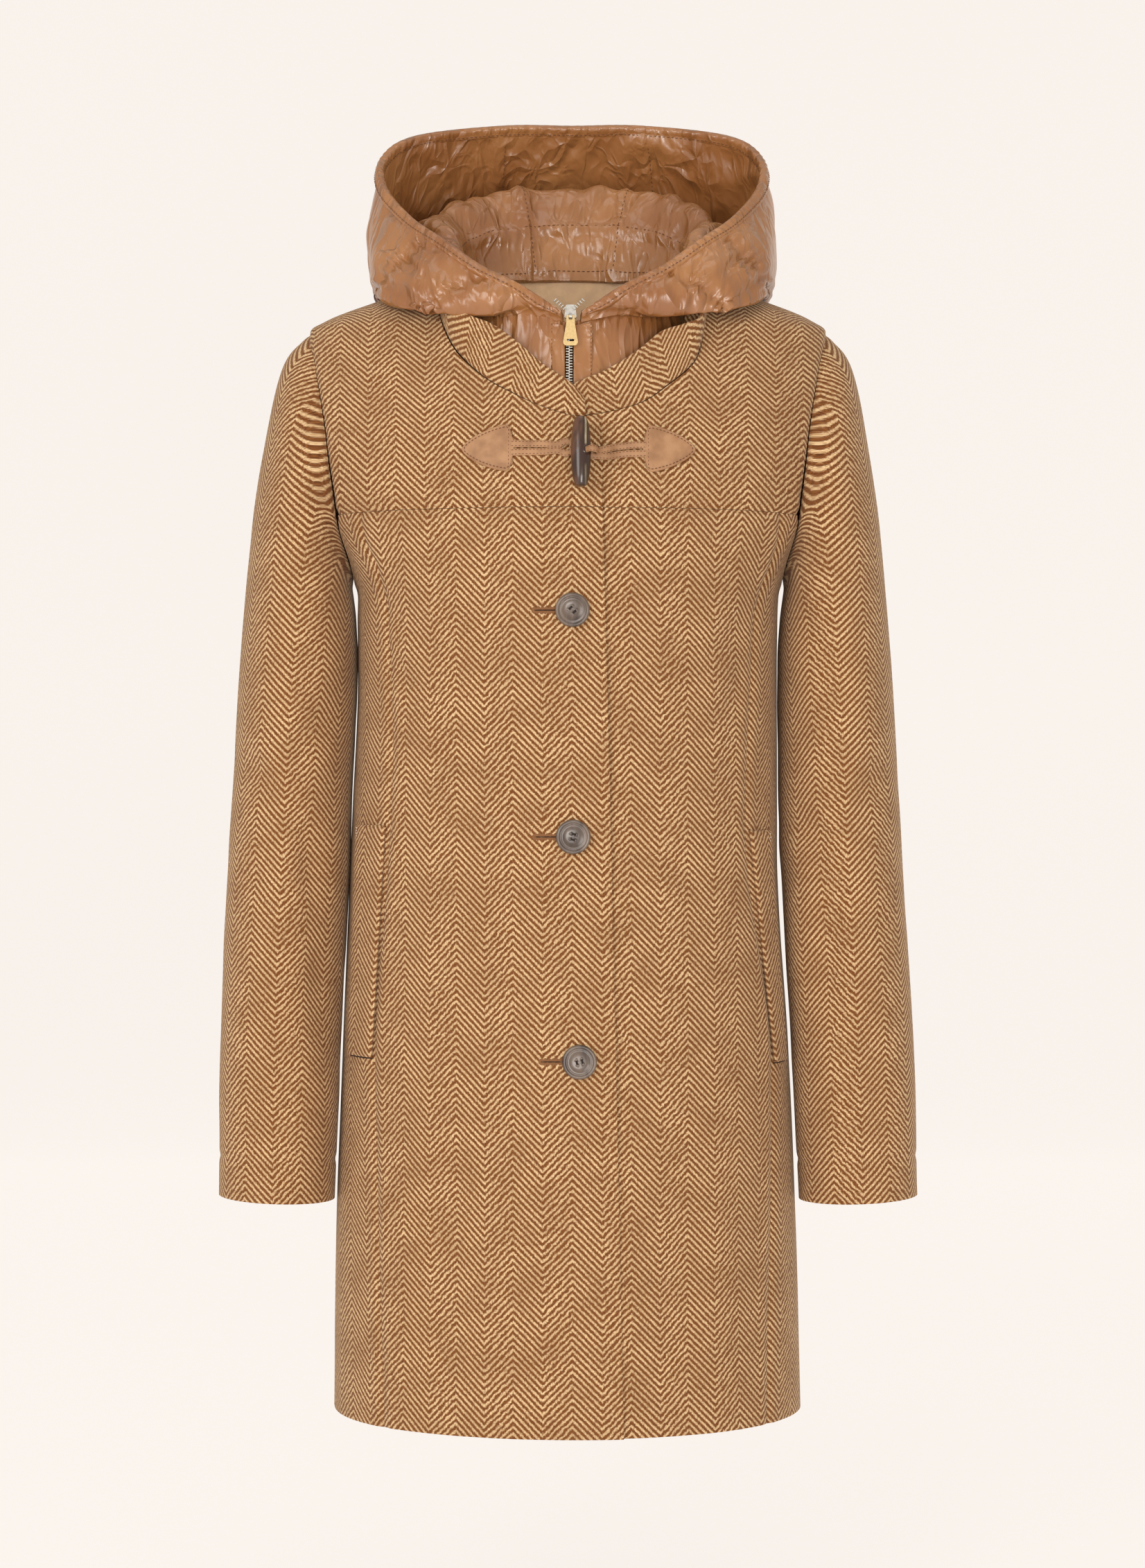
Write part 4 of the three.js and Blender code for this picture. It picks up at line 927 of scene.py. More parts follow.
def sleeve_panel(side):
    """Rings from the armhole to the cuff, each an oval from its inner to its outer point, joined
    by smooth curves. The seam is at the back of the inner side."""
    name = "sleeve_" + SIDE_NAME[side]
    angle = np.linspace(-0.65 * np.pi, 1.35 * np.pi, SLEEVE_COLUMNS + 1)
    rings = [armhole(side, angle) - (side * ARMHOLE_TUCK, 0, 0)]
    c = (1 + np.cos(angle)) / 2
    inner = SLEEVE[SIDE_NAME[side] + "_in"]
    outer = SLEEVE[SIDE_NAME[side] + "_out"]
    for k in range(len(SLEEVE["y"])):
        x = mix(inner[k], outer[k], c)
        y = SLEEVE["y"][k] - SLEEVE["depth"][k] * np.sin(angle)
        rings.append(point(side * x, y, mix(SLEEVE["in_z"][k], SLEEVE["out_z"][k], c)))
    base = through(np.stack(rings), eased(0.62))
    normal = slopes_normal(base, base - base.mean(axis=1, keepdims=True))
    across, along = arcs(base)
    level, _ = arcs(base * (1, 1, 0))
    uv = np.stack([from_middle(level), base[..., 2]], axis=-1)
    facing = np.abs(np.sin(angle))[None, :] ** 0.5
    creases = 1.6 * crease_depth(np.abs(base[..., 0]), base[..., 2], SLEEVE_CREASES[side]) * facing
    seam = 0.0012 * np.exp(-((np.minimum(across, across[:, -1:] - across) / 0.004) ** 2))
    hem = 0.0009 * np.exp(-(((along[-1:] - along - 0.03) / 0.003) ** 2))
    depth = creases + seam + hem + seam_dip(along, 0.0009, 0.0026)
    depth = depth + uneven(base, 23 + side) * smooth(along / 0.02)
    depth[:, -1] = depth[:, 0]
    points = base - normal * depth[..., None]
    points[:, -1] = points[:, 0]
    obj = grid_object(name + "_cloth", points, uv, normal, wraps=True)
    thicken(obj, WOOL)
    finish_piece(obj, WOOL_CLOTH, "herringbone_wool", name)
    declare_sheet(base)


def neckline_point(side, s):
    """Neckline points: below 0 past the middle of the front, 1 to 2 round the back."""
    front_x = np.where(s < 0, NECKLINE_RATE * s, by_side(NECKLINE, side, s, "_x"))
    front_z = by_side(NECKLINE, side, np.maximum(s, 0), "_z")
    front, _ = on_body(-1, side * front_x, front_z, lift(side, side * front_x))
    rear, _ = on_ring(1, side, 2 - s, 0 * s)
    return np.where((s > 1)[..., None], rear, front)


def collar_piece():
    """The neckline carried up by the collar's height, leaning in at the front and out behind."""
    left_end, right_end = COLLAR_ENDS
    u = np.linspace(0, 1, COLLAR_COLUMNS + 1)[None, :]
    v = np.linspace(0, 1, 13)[:, None]
    side = np.where(u < 0.5, -1, 1) + 0 * v.astype(int)
    s = np.where(u < 0.5, mix(left_end, 2, 2 * u), mix(2, right_end, 2 * u - 1)) + 0 * v
    base = neckline_point(side, s)
    height = read(COLLAR_HEIGHT, "height", s) * v
    lean = mix(COLLAR_LEAN_FRONT, COLLAR_LEAN_BACK, smooth((s - 0.22) / 0.4))
    inward = unit(base * (-1, -1, 0))
    base = base + inward * (height * lean + COLLAR_INSET)[..., None]
    base[..., 2] += height + COLLAR_RISE
    normal = slopes_normal(base, -inward)
    across, along = arcs(base)
    roll = 0.0006 * lattice_noise(base / 0.035, 41) - 0.0008 * np.sin(np.pi * v)
    depth = roll + seam_dip(along, 0.0008, 0.002)
    points = base - normal * depth[..., None]
    uv = np.stack([from_middle(across), along + 0.0024], axis=-1)
    obj = grid_object("collar_cloth", points, uv, normal)
    thicken(obj, WOOL, 0.0009)
    finish_piece(obj, WOOL_CLOTH, "herringbone_wool", "collar")
    declare_sheet(base)


def welt_piece(side):
    """A slanted strip raised off the front, with a bar tack at its top and a dark thread of painted shadow
    below it.
    """
    top_z, bottom_z, top_in, top_out, bottom_in, bottom_out = WELTS[side]
    name = "pocket_welt_" + SIDE_NAME[side]
    v = eased(0.176, 0.003)[:, None]
    u = eased(0.02, 0.0015)[None, :]
    z = mix(bottom_z, top_z, v) + 0 * u
    inner = ring_share(side, mix(bottom_in, top_in, v) + 0 * u, z)
    outer = ring_share(side, mix(bottom_out, top_out, v) + 0 * u, z)
    base, normal = on_ring(-1, side, mix(inner, outer, u), z, SEAM + WELT_T)
    across, _ = arcs(base)
    depth = 0.0014 * np.exp(-nearest_edge(base) / 0.0016)
    points = base - normal * depth[..., None]
    uv = np.stack([side * (across + 0.02), z + 0.0011], axis=-1)
    obj = grid_object(name + "_cloth", points, uv, normal)
    thicken(obj, WELT_T - 0.0002)
    finish_piece(obj, WOOL_CLOTH, "herringbone_wool", name)
    declare_sheet(base)
    bar_z = np.linspace(top_z - 0.0015, top_z - 0.0095, 12)
    bar = on_body(-1, side * (top_out - 0.0022) + 0 * bar_z, bar_z, SEAM + WELT_T)
    stitches(name + "_bar_tack", [bar], BAR_TACK, PALE_THREAD, "herringbone_wool")
    # A dark thread of painted shadow along the welt's lower end
    shade_line_x = np.linspace(side * bottom_in, side * bottom_out, 16)
    slit, _ = on_body(-1, shade_line_x, bottom_z - 0.0006 + 0 * shade_line_x, SEAM)
    tubes(name + "_slit", slit[None], 0.0006, PAINTED_SLIT_SHADE, "herringbone_wool")


# Sewing


def tubes(name, lines, radius, material, slot_name, up=(0.0, -1.0, 0.001)):
    """Thin threads along short lines, an array (count, points, 3), as one object. Each swells from
    a quarter of the radius at its ends to the full one, as sin(pi*share)^0.4."""
    lines = np.asarray(lines, float)
    count, steps = lines.shape[:2]
    direction = unit(np.gradient(lines, axis=1))
    up = np.broadcast_to(up, lines.shape)
    aside = unit(np.cross(direction, up))
    up = np.cross(aside, direction)
    share = np.linspace(0, 1, steps)
    swell = radius * (0.25 + 0.75 * np.sin(np.pi * share) ** 0.4)
    angle = np.arange(THREAD_SIDES) * 2 * np.pi / THREAD_SIDES
    ring = aside[:, :, None] * np.cos(angle)[:, None] + up[:, :, None] * np.sin(angle)[:, None]
    vertices = lines[:, :, None] + ring * swell[None, :, None, None]
    ids = np.arange(count * steps * THREAD_SIDES).reshape(count, steps, THREAD_SIDES)
    obj = mesh_object(name, vertices.reshape(-1, 3), ring_walls(ids))
    finish_piece(obj, material, slot_name)
    return obj


def ring_walls(ids):
    """Quads between rings of points one above the other, from their numbers (..., ring, point).
    They face outwards where the points of a ring run clockwise as seen from above."""
    turned = np.roll(ids, -1, axis=-1)
    upper = [ids[..., 1:, :], turned[..., 1:, :]]
    lower = [turned[..., :-1, :], ids[..., :-1, :]]
    return np.stack(upper + lower, axis=-1).reshape(-1, 4)


def dashes(path, normals, length, gap, proud):
    """Stitches along a path of points: short arched lines of five points each, and normals."""
    steps = np.linalg.norm(np.diff(path, axis=0), axis=-1)
    at = np.concatenate([[0], np.cumsum(steps)])
    count = max(1, int(at[-1] / (length + gap)))
    start = (np.arange(count) + 0.5) * at[-1] / count - length / 2
    t = np.linspace(0, 1, 5)
    where = start[:, None] + length * t
    lines = np.stack([np.interp(where, at, path[:, k]) for k in range(3)], axis=-1)
    up = unit(np.stack([np.interp(where, at, normals[:, k]) for k in range(3)], axis=-1))
    arch = proud * np.sin(np.pi * t)
    return lines + up * arch[None, :, None], up


def stitches(name, paths, stitch, material, slot_name):
    """Stitches of one kind along several paths, each with its normals, as one object."""
    length, gap, proud, radius = stitch
    sewn = [dashes(path, normals, length, gap, proud) for path, normals in paths]
    lines, up = (np.concatenate(part) for part in zip(*sewn))
    tubes(name, lines, radius, material, slot_name, up)


# Leather loops, patches, toggle


def patch_half(u):
    """Half height of a patch at u: h * (1 - u^1.55)^0.66, with its wide end's corners rounded."""
    corner = np.sqrt(1 - 0.7 * (1 - np.minimum(u / 0.13, 1)) ** 2.4)
    return PATCH_HALF * np.maximum(0.006, 1 - np.minimum(u, 1) ** 1.55) ** 0.66 * corner


def patch_surface(side, u, v, out):
    """Points and normals of a patch, a rounded triangle: u from its wide end to its tip, v from its
    lower to its upper edge."""
    half = patch_half(u)
    bulge = 0.002 * (1 - (2 * v - 1) ** 2) * (1 - np.minimum(u, 1)) ** 8
    x = side * (PATCH_X[side] + PATCH_LENGTH * u - bulge)
    z = PATCH_Z + half * (2 * v - 1)
    return on_body(-1, x, z, lift(side, x) + out)


def patch_piece(side):
    """A patch pressed in along its stitching, 2.2 mm from its edge, and its ring of stitches."""
    name = "patch_" + SIDE_NAME[side]
    u = eased(0.037, 0.0012)[None, :]
    v = eased(0.036, 0.0012)[:, None]
    base, normal = patch_surface(side, u + 0 * v, v + 0 * u, SEAM + PATCH_T)
    closest = nearest_edge(base)
    groove = 0.00035 * np.exp(-(((closest - 0.0022) / 0.0007) ** 2))
    edge = 0.0007 * np.exp(-closest / 0.0007)
    points = base - normal * (groove + edge)[..., None]
    uv = np.stack(np.broadcast_arrays(u, v), axis=-1)
    obj = grid_object(name + "_leather", points, uv, normal)
    thicken(obj, PATCH_T - 0.0001, 0.0004)
    finish_piece(obj, LEATHER, "tan_leather", name)
    there = np.sin(np.linspace(0, np.pi / 2, 60)) * 0.88 + 0.06
    ring_u = np.concatenate([there, there[::-1]])
    inset = np.minimum(0.5, 0.0021 / (2 * patch_half(ring_u)))
    inset[58:62] = 0.5
    ring_v = np.concatenate([1 - inset[:60], inset[60:]])
    ring_u = np.append(ring_u, ring_u[0])
    ring_v = np.append(ring_v, ring_v[0])
    ring = patch_surface(side, ring_u, ring_v, SEAM + PATCH_T - 0.0003)
    stitches(name + "_stitches", [ring], PATCH_STITCH, THREAD, "tan_leather")


def strand_piece(name, route, across, node):
    """A flat leather strand through points (x, z, out), its section a pressed circle carried along
    a smooth curve, with a row of stitches near each edge. across(tangent, normal) gives the
    direction of its width."""
    route = np.array(route, float) / 1000
    knots, _ = on_body(-1, route[:, 0], route[:, 1], route[:, 2])
    t = np.linspace(0, 1, 12 * (len(route) - 1) + 1)
    line = through(knots, t)
    tangent = unit(np.gradient(line, axis=0))
    wide = unit(across(tangent, body_normal(line)))
    thick = unit(np.cross(tangent, wide))
    angle = np.linspace(0, 2 * np.pi, 21)
    a, b = squared_ring(angle, 0.45)
    a = a * STRAND_W / 2
    b = b * STRAND_T / 2
    crown = 1 - 0.12 * (a / STRAND_W * 2) ** 2
    rolled = (1 - 0.3 * np.exp(-(((t - 0.5) / 0.12) ** 2)))[:, None, None]
    points = line[:, None] + wide[:, None] * a[:, None] * rolled + thick[:, None] * (b * crown)[:, None]
    uv = np.stack(np.broadcast_arrays(t[:, None], angle[None, :] / 7), axis=-1)
    outward = points - line[:, None]
    obj = grid_object(name, points, uv, outward, wraps=True)
    finish_piece(obj, LEATHER, "tan_leather", node)
    paths = []
    for edge in (-1, 1):
        for face in (-1, 1):
            path = line + wide * (0.31 * edge * STRAND_W) + thick * (face * (0.5 * STRAND_T - 0.00012))
            paths.append((path, thick * face))
    stitches(name + "_stitches", paths, STRAND_STITCH, THREAD, "tan_leather")


def loops():
    """The two loops' routes in millimetres. The right one turns upright and passes through the
    toggle."""
    flat = 1000 * (LAP + SEAM + STRAND_T / 2)
    low = 1000 * (SEAM + STRAND_T / 2)

    def over(x):
        return 1000 * float(lift(-1, x / 1000)) + low

    left = [
        (-45, -137.8, over(-45)), (-32, -138, over(-32)), (-20, -138.2, flat),
        (-10.5, -138.9, flat + 0.3), (-5.5, -136.6, flat + 1), (-1.4, -137.4, flat + 1),
        (0.8, -141, flat + 1),
        (-1.4, -144.6, flat + 1), (-5.5, -145.4, flat + 1), (-10.5, -143.1, flat + 0.3),
        (-20, -143.8, flat), (-32, -144, over(-32)), (-45, -144.2, over(-45)),
    ]
    right = [
        (55, -137.8, low), (44, -138.2, low), (34, -139.6, low + 0.4), (27.5, -141.4, 4),
        (21.5, -143.6, 7), (18, -145.3, 11.5), (18.4, -146.3, 17.5), (17.2, -146.8, 23.2),
        (14, -146.8, 25.3), (11.2, -146.8, 22.8), (8.9, -146.8, 19.3), (6.6, -146.8, 15.8),
        (4.3, -146.8, 12.3), (2.2, -146.8, 9.2), (1.7, -147, 7.4), (3.6, -147.2, 6.8),
        (9, -147.4, 6.9), (16, -147.4, 6.6), (22, -147.3, 5.3), (27.5, -147.1, 3.4),
        (34, -145.4, low + 0.2), (44, -144.4, low), (55, -144.2, low),
    ]

    def upright(tangent, normal):
        return np.broadcast_to((0.0, 0.0, 1.0), tangent.shape)

    strand_piece("left_loop", left, np.cross, "cord_left")
    strand_piece("right_loop", right, upright, "cord_right")


def lathe(name, profile, segments):
    """A turned piece about +Y from a profile of (radius, height) rows, bottom to top."""
    profile = np.asarray(profile, float)
    angle = np.linspace(0, 2 * np.pi, segments + 1)
    x = profile[:, :1] * np.cos(angle)
    z = profile[:, :1] * np.sin(angle)
    y = profile[:, 1:] + 0 * angle
    points = point(x, y, z)
    outward = point(x, 0 * x, z) + point(0 * x, y - y.mean(), 0 * x)
    uv = np.stack([np.broadcast_to(angle / 7, x.shape), y], axis=-1)
    return grid_object(name, points, uv, outward, wraps=True)


def round_hole(obj, x, z, radius, half, turn=Matrix()):
    """A round hole cut at x and z, along +Y turned by a matrix. The cutter's faces point inwards,
    which leaves a thin disc over each end of the hole."""
    t = np.linspace(0, 2 * np.pi, 25)[:-1]
    ring = point(x + radius * np.cos(t), 0 * t, z + radius * np.sin(t))
    vertices = np.concatenate([ring + (0, -half, 0), ring + (0, half, 0)])
    ids = np.arange(48).reshape(2, 24)
    walls = ring_walls(ids)[:, ::-1].tolist()
    caps = [ids[0, ::-1].tolist(), ids[1].tolist()]
    mesh = bpy.data.meshes.new("cutter")
    mesh.from_pydata(vertices.tolist(), [], walls + caps)
    mesh.transform(turn)
    cutter = bpy.data.objects.new("cutter", mesh)
    bpy.context.scene.collection.objects.link(cutter)
    cut = obj.modifiers.new("hole", "BOOLEAN")
    cut.operation = "DIFFERENCE"
    cut.solver = "EXACT"
    cut.object = cutter
    bake(obj)
    bpy.data.objects.remove(cutter)


def bake(obj):
    """A piece's modifiers made part of its mesh."""
    graph = bpy.context.evaluated_depsgraph_get()
    mesh = bpy.data.meshes.new_from_object(obj.evaluated_get(graph))
    obj.modifiers.clear()
    obj.data = mesh


def place(obj, matrix):
    """A finished piece's mesh moved, so that the object stays at the origin."""
    obj.data.transform(matrix)
    obj.data.update()


def seat(x, z, out, axis):
    """The matrix that stands a piece made about `axis` on the cloth at x and z."""
    p, normal = on_body(-1, np.array(x), np.array(z), np.array(out))
    turn = Vector(axis).rotation_difference(Vector(normal.tolist()))
    return Matrix.Translation(Vector(p.tolist())) @ turn.to_matrix().to_4x4()


def button_piece(name):
    """A turned disc with a rounded rim and a sunk face, the rims of four holes, and two rows of
    threads that rise as sin(pi*share)^0.35."""
    x, z, turn = BUTTONS[name]
    r = BUTTON_R
    t = BUTTON_T
    profile = [
        (0.0001, 0.0), (r - 0.0022, 0.0), (r - 0.0012, 0.0002), (r - 0.0003, 0.0010), (r, 0.0018),
        (r, t - 0.0014), (r - 0.0003, t - 0.0006), (r - 0.0009, t - 0.0001), (r - 0.0016, t),
        (r - 0.0022, t - 0.0002), (r - 0.0027, t - 0.0009), (r - 0.0032, t - 0.0011),
        (r - 0.0038, t - 0.0008), (r - 0.0046, t - 0.0007), (r - 0.0054, t - 0.0010),
        (r - 0.0064, t - 0.0015), (r - 0.0085, t - 0.0017), (0.0001, t - 0.0017),
    ]
    obj = lathe(name + "_horn", profile, 96)
    angles = turn + np.arange(4) * math.pi / 2
    places = [(BUTTON_HOLE_OFFSET * math.cos(a), BUTTON_HOLE_OFFSET * math.sin(a)) for a in angles]
    for hole_x, hole_z in places:
        round_hole(obj, hole_x, hole_z, BUTTON_HOLE_R, 3 * t)
    matrix = seat(x, z, LAP + SEAM, (0, 1, 0))
    place(obj, matrix)
    finish_piece(obj, BUTTON_HORN, "button_horn", name)
    lines = []
    share = np.linspace(0, 1, 9)
    for first, second in ((0, 1), (2, 3)):
        a = np.array(places[first])
        b = np.array(places[second])
        for shift in (-0.0006, -0.0002, 0.0002, 0.0006):
            side_step = np.array([b[1] - a[1], a[0] - b[0]]) / np.linalg.norm(b - a) * shift
            flat_line = a + (b - a) * share[:, None] + side_step
            height = t - 0.0028 + 0.0017 * np.sin(np.pi * share) ** 0.35
            lines.append(point(flat_line[:, 0], height, flat_line[:, 1]))
    up = (0.0, 1.0, 0.001)
    sewing = tubes(name + "_sewing", lines, 0.0002, BUTTON_THREAD, "button_horn", up)
    place(sewing, matrix)


def toggle_piece():
    """A turned rod, thickest in the middle, its radius read from a table by the distance from its
    end, with one hole across for the loop."""
    half = TOGGLE_LENGTH / 2
    rows = table(
        "at share",
        [
            (0, 0.02),
            (0.0001, 0.34),
            (0.0004, 0.47),
            (0.001, 0.555),
            (0.0025, 0.64),
            (0.008, 0.82),
            (0.016, 0.94),
            (0.0265, 1.0),
        ],
    )
    from_end = half * np.linspace(0, 1, 40) ** 2.2
    y = np.concatenate([from_end - half, half - from_end[-2::-1]])
    radius = TOGGLE_R * read(rows, "share", half - np.abs(y))
    obj = lathe("toggle_horn", np.stack([radius, y], axis=-1), 64)
    place(obj, Matrix.Rotation(math.pi / 2, 4, "X"))
    round_hole(obj, 0.0, 0.0, TOGGLE_HOLE_R, 2 * TOGGLE_R, Matrix.Rotation(TOGGLE_TURN, 4, "Z"))
    place(obj, seat(TOGGLE_X, TOGGLE_Z, TOGGLE_OUT, (0, -1, 0)))
    finish_piece(obj, TOGGLE_HORN, "dark_horn", "toggle")


def overcast(near_x, near_z, far_x, far_z):
    """Threads sewn over an edge of the lap, arched from points beside the slit to points beyond."""
    near, up = on_body(-1, near_x, near_z, LAP + 0.0002)
    far, _ = on_body(-1, far_x, far_z, LAP - 0.0001)
    share = np.linspace(0, 1, 5)[None, :, None]
    arch = 0.00035 * np.sin(np.pi * share) * up[:, None]
    return near[:, None] * (1 - share) + far[:, None] * share + arch


def buttonhole(name):
    """A slit left of each button, with threads over both its edges and round its left end, and a dark
    thread of painted shade along it.
    """
    x, z, _ = BUTTONS[name]
    slit = np.linspace(x - 0.0275, x - 0.0085, 60)
    lines = []
    for edge in (-1, 1):
        reach = 0.0026 + 0.0006 * np.sin(37 * np.arange(60) + edge)
        lines.append(overcast(slit, z + edge * 0.0003 + 0 * slit, slit, z + edge * reach))
    angle = np.linspace(np.pi / 2, 3 * np.pi / 2, 22)
    round_end = np.stack([np.cos(angle), np.sin(angle)])
    near = 0.0004 * round_end
    far = 0.0026 * round_end
    lines.append(overcast(slit[0] + near[0], z + near[1], slit[0] + far[0], z + far[1]))
    tubes(name + "_buttonhole", np.concatenate(lines), 0.00028, BUTTONHOLE_THREAD, "herringbone_wool")
    # A dark thread along the slit: painted shade in its gap
    line_x = np.linspace(x - 0.028, x - 0.0085, 24)
    path, _ = on_body(-1, line_x, z + 0 * line_x, LAP + 0.0001)
    tubes(name + "_slit", path[None], 0.0004, PAINTED_SLIT_SHADE, "herringbone_wool")


# Hood, bib and zip


def hood_surface(around, along):
    """The hood's outer cloth: through the profile at each station, then through the stations."""
    profiles = through(np.swapaxes(HOOD_ROUND, 0, 1), along)
    return np.swapaxes(through(np.swapaxes(profiles, 0, 1), around), 0, 1)


# Quilting of the hood in the front view, x and z: pairs of points from the brim outwards
QUILTING = [
    ((-0.115, 0.024), (-0.152, -0.009)),
    ((-0.065, -0.006), (-0.09, -0.016)),
    ((-0.09, -0.016), (-0.116, -0.04)),
    ((0.118, 0.027), (0.154, -0.008)),
    ((0.073, -0.005), (0.094, -0.011)),
    ((0.094, -0.011), (0.12, -0.034)),
]
# Creases of the hood in the front view: start, end, depth and width
HOOD_CREASES = [
    ((-0.15, 0.06), (-0.07, 0.02), 0.0045, 0.006),
    ((-0.14, 0.085), (-0.05, 0.05), 0.004, 0.007),
    ((-0.12, 0.11), (-0.03, 0.075), 0.0035, 0.007),
    ((-0.1, 0.12), (-0.06, 0.04), 0.003, 0.006),
    ((-0.03, 0.13), (-0.045, 0.06), 0.0025, 0.007),
    ((0.01, 0.125), (0.03, 0.06), 0.0025, 0.007),
    ((0.15, 0.07), (0.08, 0.02), 0.0045, 0.006),
    ((0.145, 0.095), (0.06, 0.045), 0.004, 0.007),
    ((0.12, 0.12), (0.05, 0.075), 0.0035, 0.007),
    ((0.09, 0.11), (0.07, 0.04), 0.003, 0.006),
    ((-0.14, 0.03), (-0.1, -0.03), 0.003, 0.005),
    ((-0.15, 0.0), (-0.11, -0.035), 0.003, 0.005),
    ((-0.1, 0.005), (-0.07, -0.035), 0.0028, 0.005),
    ((0.14, 0.03), (0.1, -0.025), 0.003, 0.005),
    ((0.15, 0.005), (0.12, -0.035), 0.003, 0.005),
    ((0.1, 0.01), (0.075, -0.03), 0.0028, 0.005),
    ((-0.06, 0.07), (0.02, 0.045), 0.002, 0.006),
    ((0.06, 0.065), (0.0, 0.035), 0.002, 0.006),
    ((-0.02, 0.05), (0.05, 0.03), 0.0018, 0.005),
    ((-0.05, 0.03), (0.0, 0.015), 0.0018, 0.004),
]


def crumple(p, seed):
    """Creased nylon: sharp valleys where a bent soft noise changes sign, over two sizes."""
    total = 0
    for size, depth in ((0.07, 0.005), (0.032, 0.0019)):
        shifts = [lattice_noise(p / size + 9 * k, seed + k) for k in range(3)]
        bent = p / size + 0.7 * np.stack(shifts, axis=-1)
        total = total + depth * (1 - 2.2 * np.abs(lattice_noise(bent, seed + 5)) ** 0.8)
        seed += 11
    return total


def puckers(distance, along, depth, period, reach):
    """Gathers across a stitched line, depth * sin(2 pi along/period), fading with distance."""
    wander = 0.35 * np.sin(2 * np.pi * along / (3.3 * period))
    return depth * np.sin(2 * np.pi * along / period + 4 * wander) * np.exp(-((distance / reach) ** 2))


def hood_depth(points, along_share, near_seams):
    """Depth of creases, quilting, panel seams and gathers over the hood."""
    x, y, z = np.moveaxis(points, -1, 0)
    flank = smooth((along_share - 0.32) / 0.12) * smooth((0.06 - y) / 0.05)
    depth = mix(0.55, 0.25, flank) * crumple(points, 51)
    depth = depth + crease_depth(x, z, HOOD_CREASES) * smooth((0.14 - y) / 0.06)
    for start, end in QUILTING:
        aside, share, length = line_distance(x, z, start, end)
        on_line = smooth((share + 0.05) / 0.1) * smooth((1.05 - share) / 0.1)
        depth = depth + on_line * 0.003 * np.exp(-((aside / 0.004) ** 2))
        depth = depth + on_line * puckers(aside, share * length, 0.0013, 0.0075, 0.012)
    for distance, length in near_seams:
        depth = depth + 0.0026 * np.exp(-((distance / 0.0035) ** 2))
        depth = depth + puckers(distance, length, 0.0006, 0.009, 0.009)
    return depth


def hood_piece():
    """The hood's smooth surface less the depth of its creases, quilting, seams and gathers, which
    fades to nothing at its neck seam and its brim."""
    around = np.linspace(0, 1, HOOD_COLUMNS + 1)
    along = np.linspace(0, 0.993, HOOD_ROWS + 1)
    base = hood_surface(around, along)
    brim = (np.arange(HOOD_ROWS + 1) > HOOD_ROWS - 20)[:, None, None]
    normal = slopes_normal(base, (base - HOOD_CENTRE) * brim)
    across, down = arcs(base)
    seams = []
    for column in HOOD_SEAM_COLUMNS:
        seams.append((np.abs(across - across[:, column : column + 1]), down))
    seams.append((np.abs(down - down[NECK_BAND_ROW : NECK_BAND_ROW + 1]), across))
    seams.append((down[-1:] - down, across))
    room = smooth(down[-1:] / 0.09)
    ends = smooth(down / 0.008) * smooth((down[-1:] - down) / 0.012)
    depth = hood_depth(base, along[:, None], seams) * room * ends
    depth = np.clip(depth, -0.0025, 0.007)
    points = base - normal * depth[..., None]
    uv = np.stack([across, down], axis=-1)
    obj = grid_object("hood_nylon", points, uv, normal)
    thicken(obj, PADDED, 0.0012)
    finish_piece(obj, NYLON_CLOTH, "brown_nylon", "hood_left", "hood_centre", "hood_right")
    hood_stitches(points, normal)


def front_path(points, normal, start, end):
    """The path on the hood's front over a straight line of the front view: an average of the
    surface's points there, by distance in that view."""
    t = np.linspace(0, 1, 40)
    facing = normal[..., 1] < -0.15
    p = points[facing]
    n = normal[facing]
    dx = p[:, 0] - mix(start[0], end[0], t)[:, None]
    dz = p[:, 2] - mix(start[1], end[1], t)[:, None]
    weight = np.exp(-(dx**2 + dz**2) / (2 * 0.0014**2)) + 1e-12
    share = weight / weight.sum(axis=1, keepdims=True)
    return share @ p, unit(share @ n)


def hood_stitches(points, normal):
    """Stitches along the panel seams inside and outside, the neck band's seam and the quilting."""
    inside = points - normal * PADDED
    paths = []
    for column in HOOD_SEAM_COLUMNS:
        beside = column + 1
        paths.append((points[4:-4, beside], normal[4:-4, beside]))
        paths.append((inside[4:-4, beside], -normal[4:-4, beside]))
    for row in (3, NECK_BAND_ROW + 1):
        paths.append((inside[row, 70:-70], -normal[row, 70:-70]))
    for start, end in QUILTING:
        paths.append(front_path(points, normal, start, end))
    stitches("hood_stitches", paths, HOOD_STITCH, NYLON_THREAD_PAINTED_SHADE, "brown_nylon")


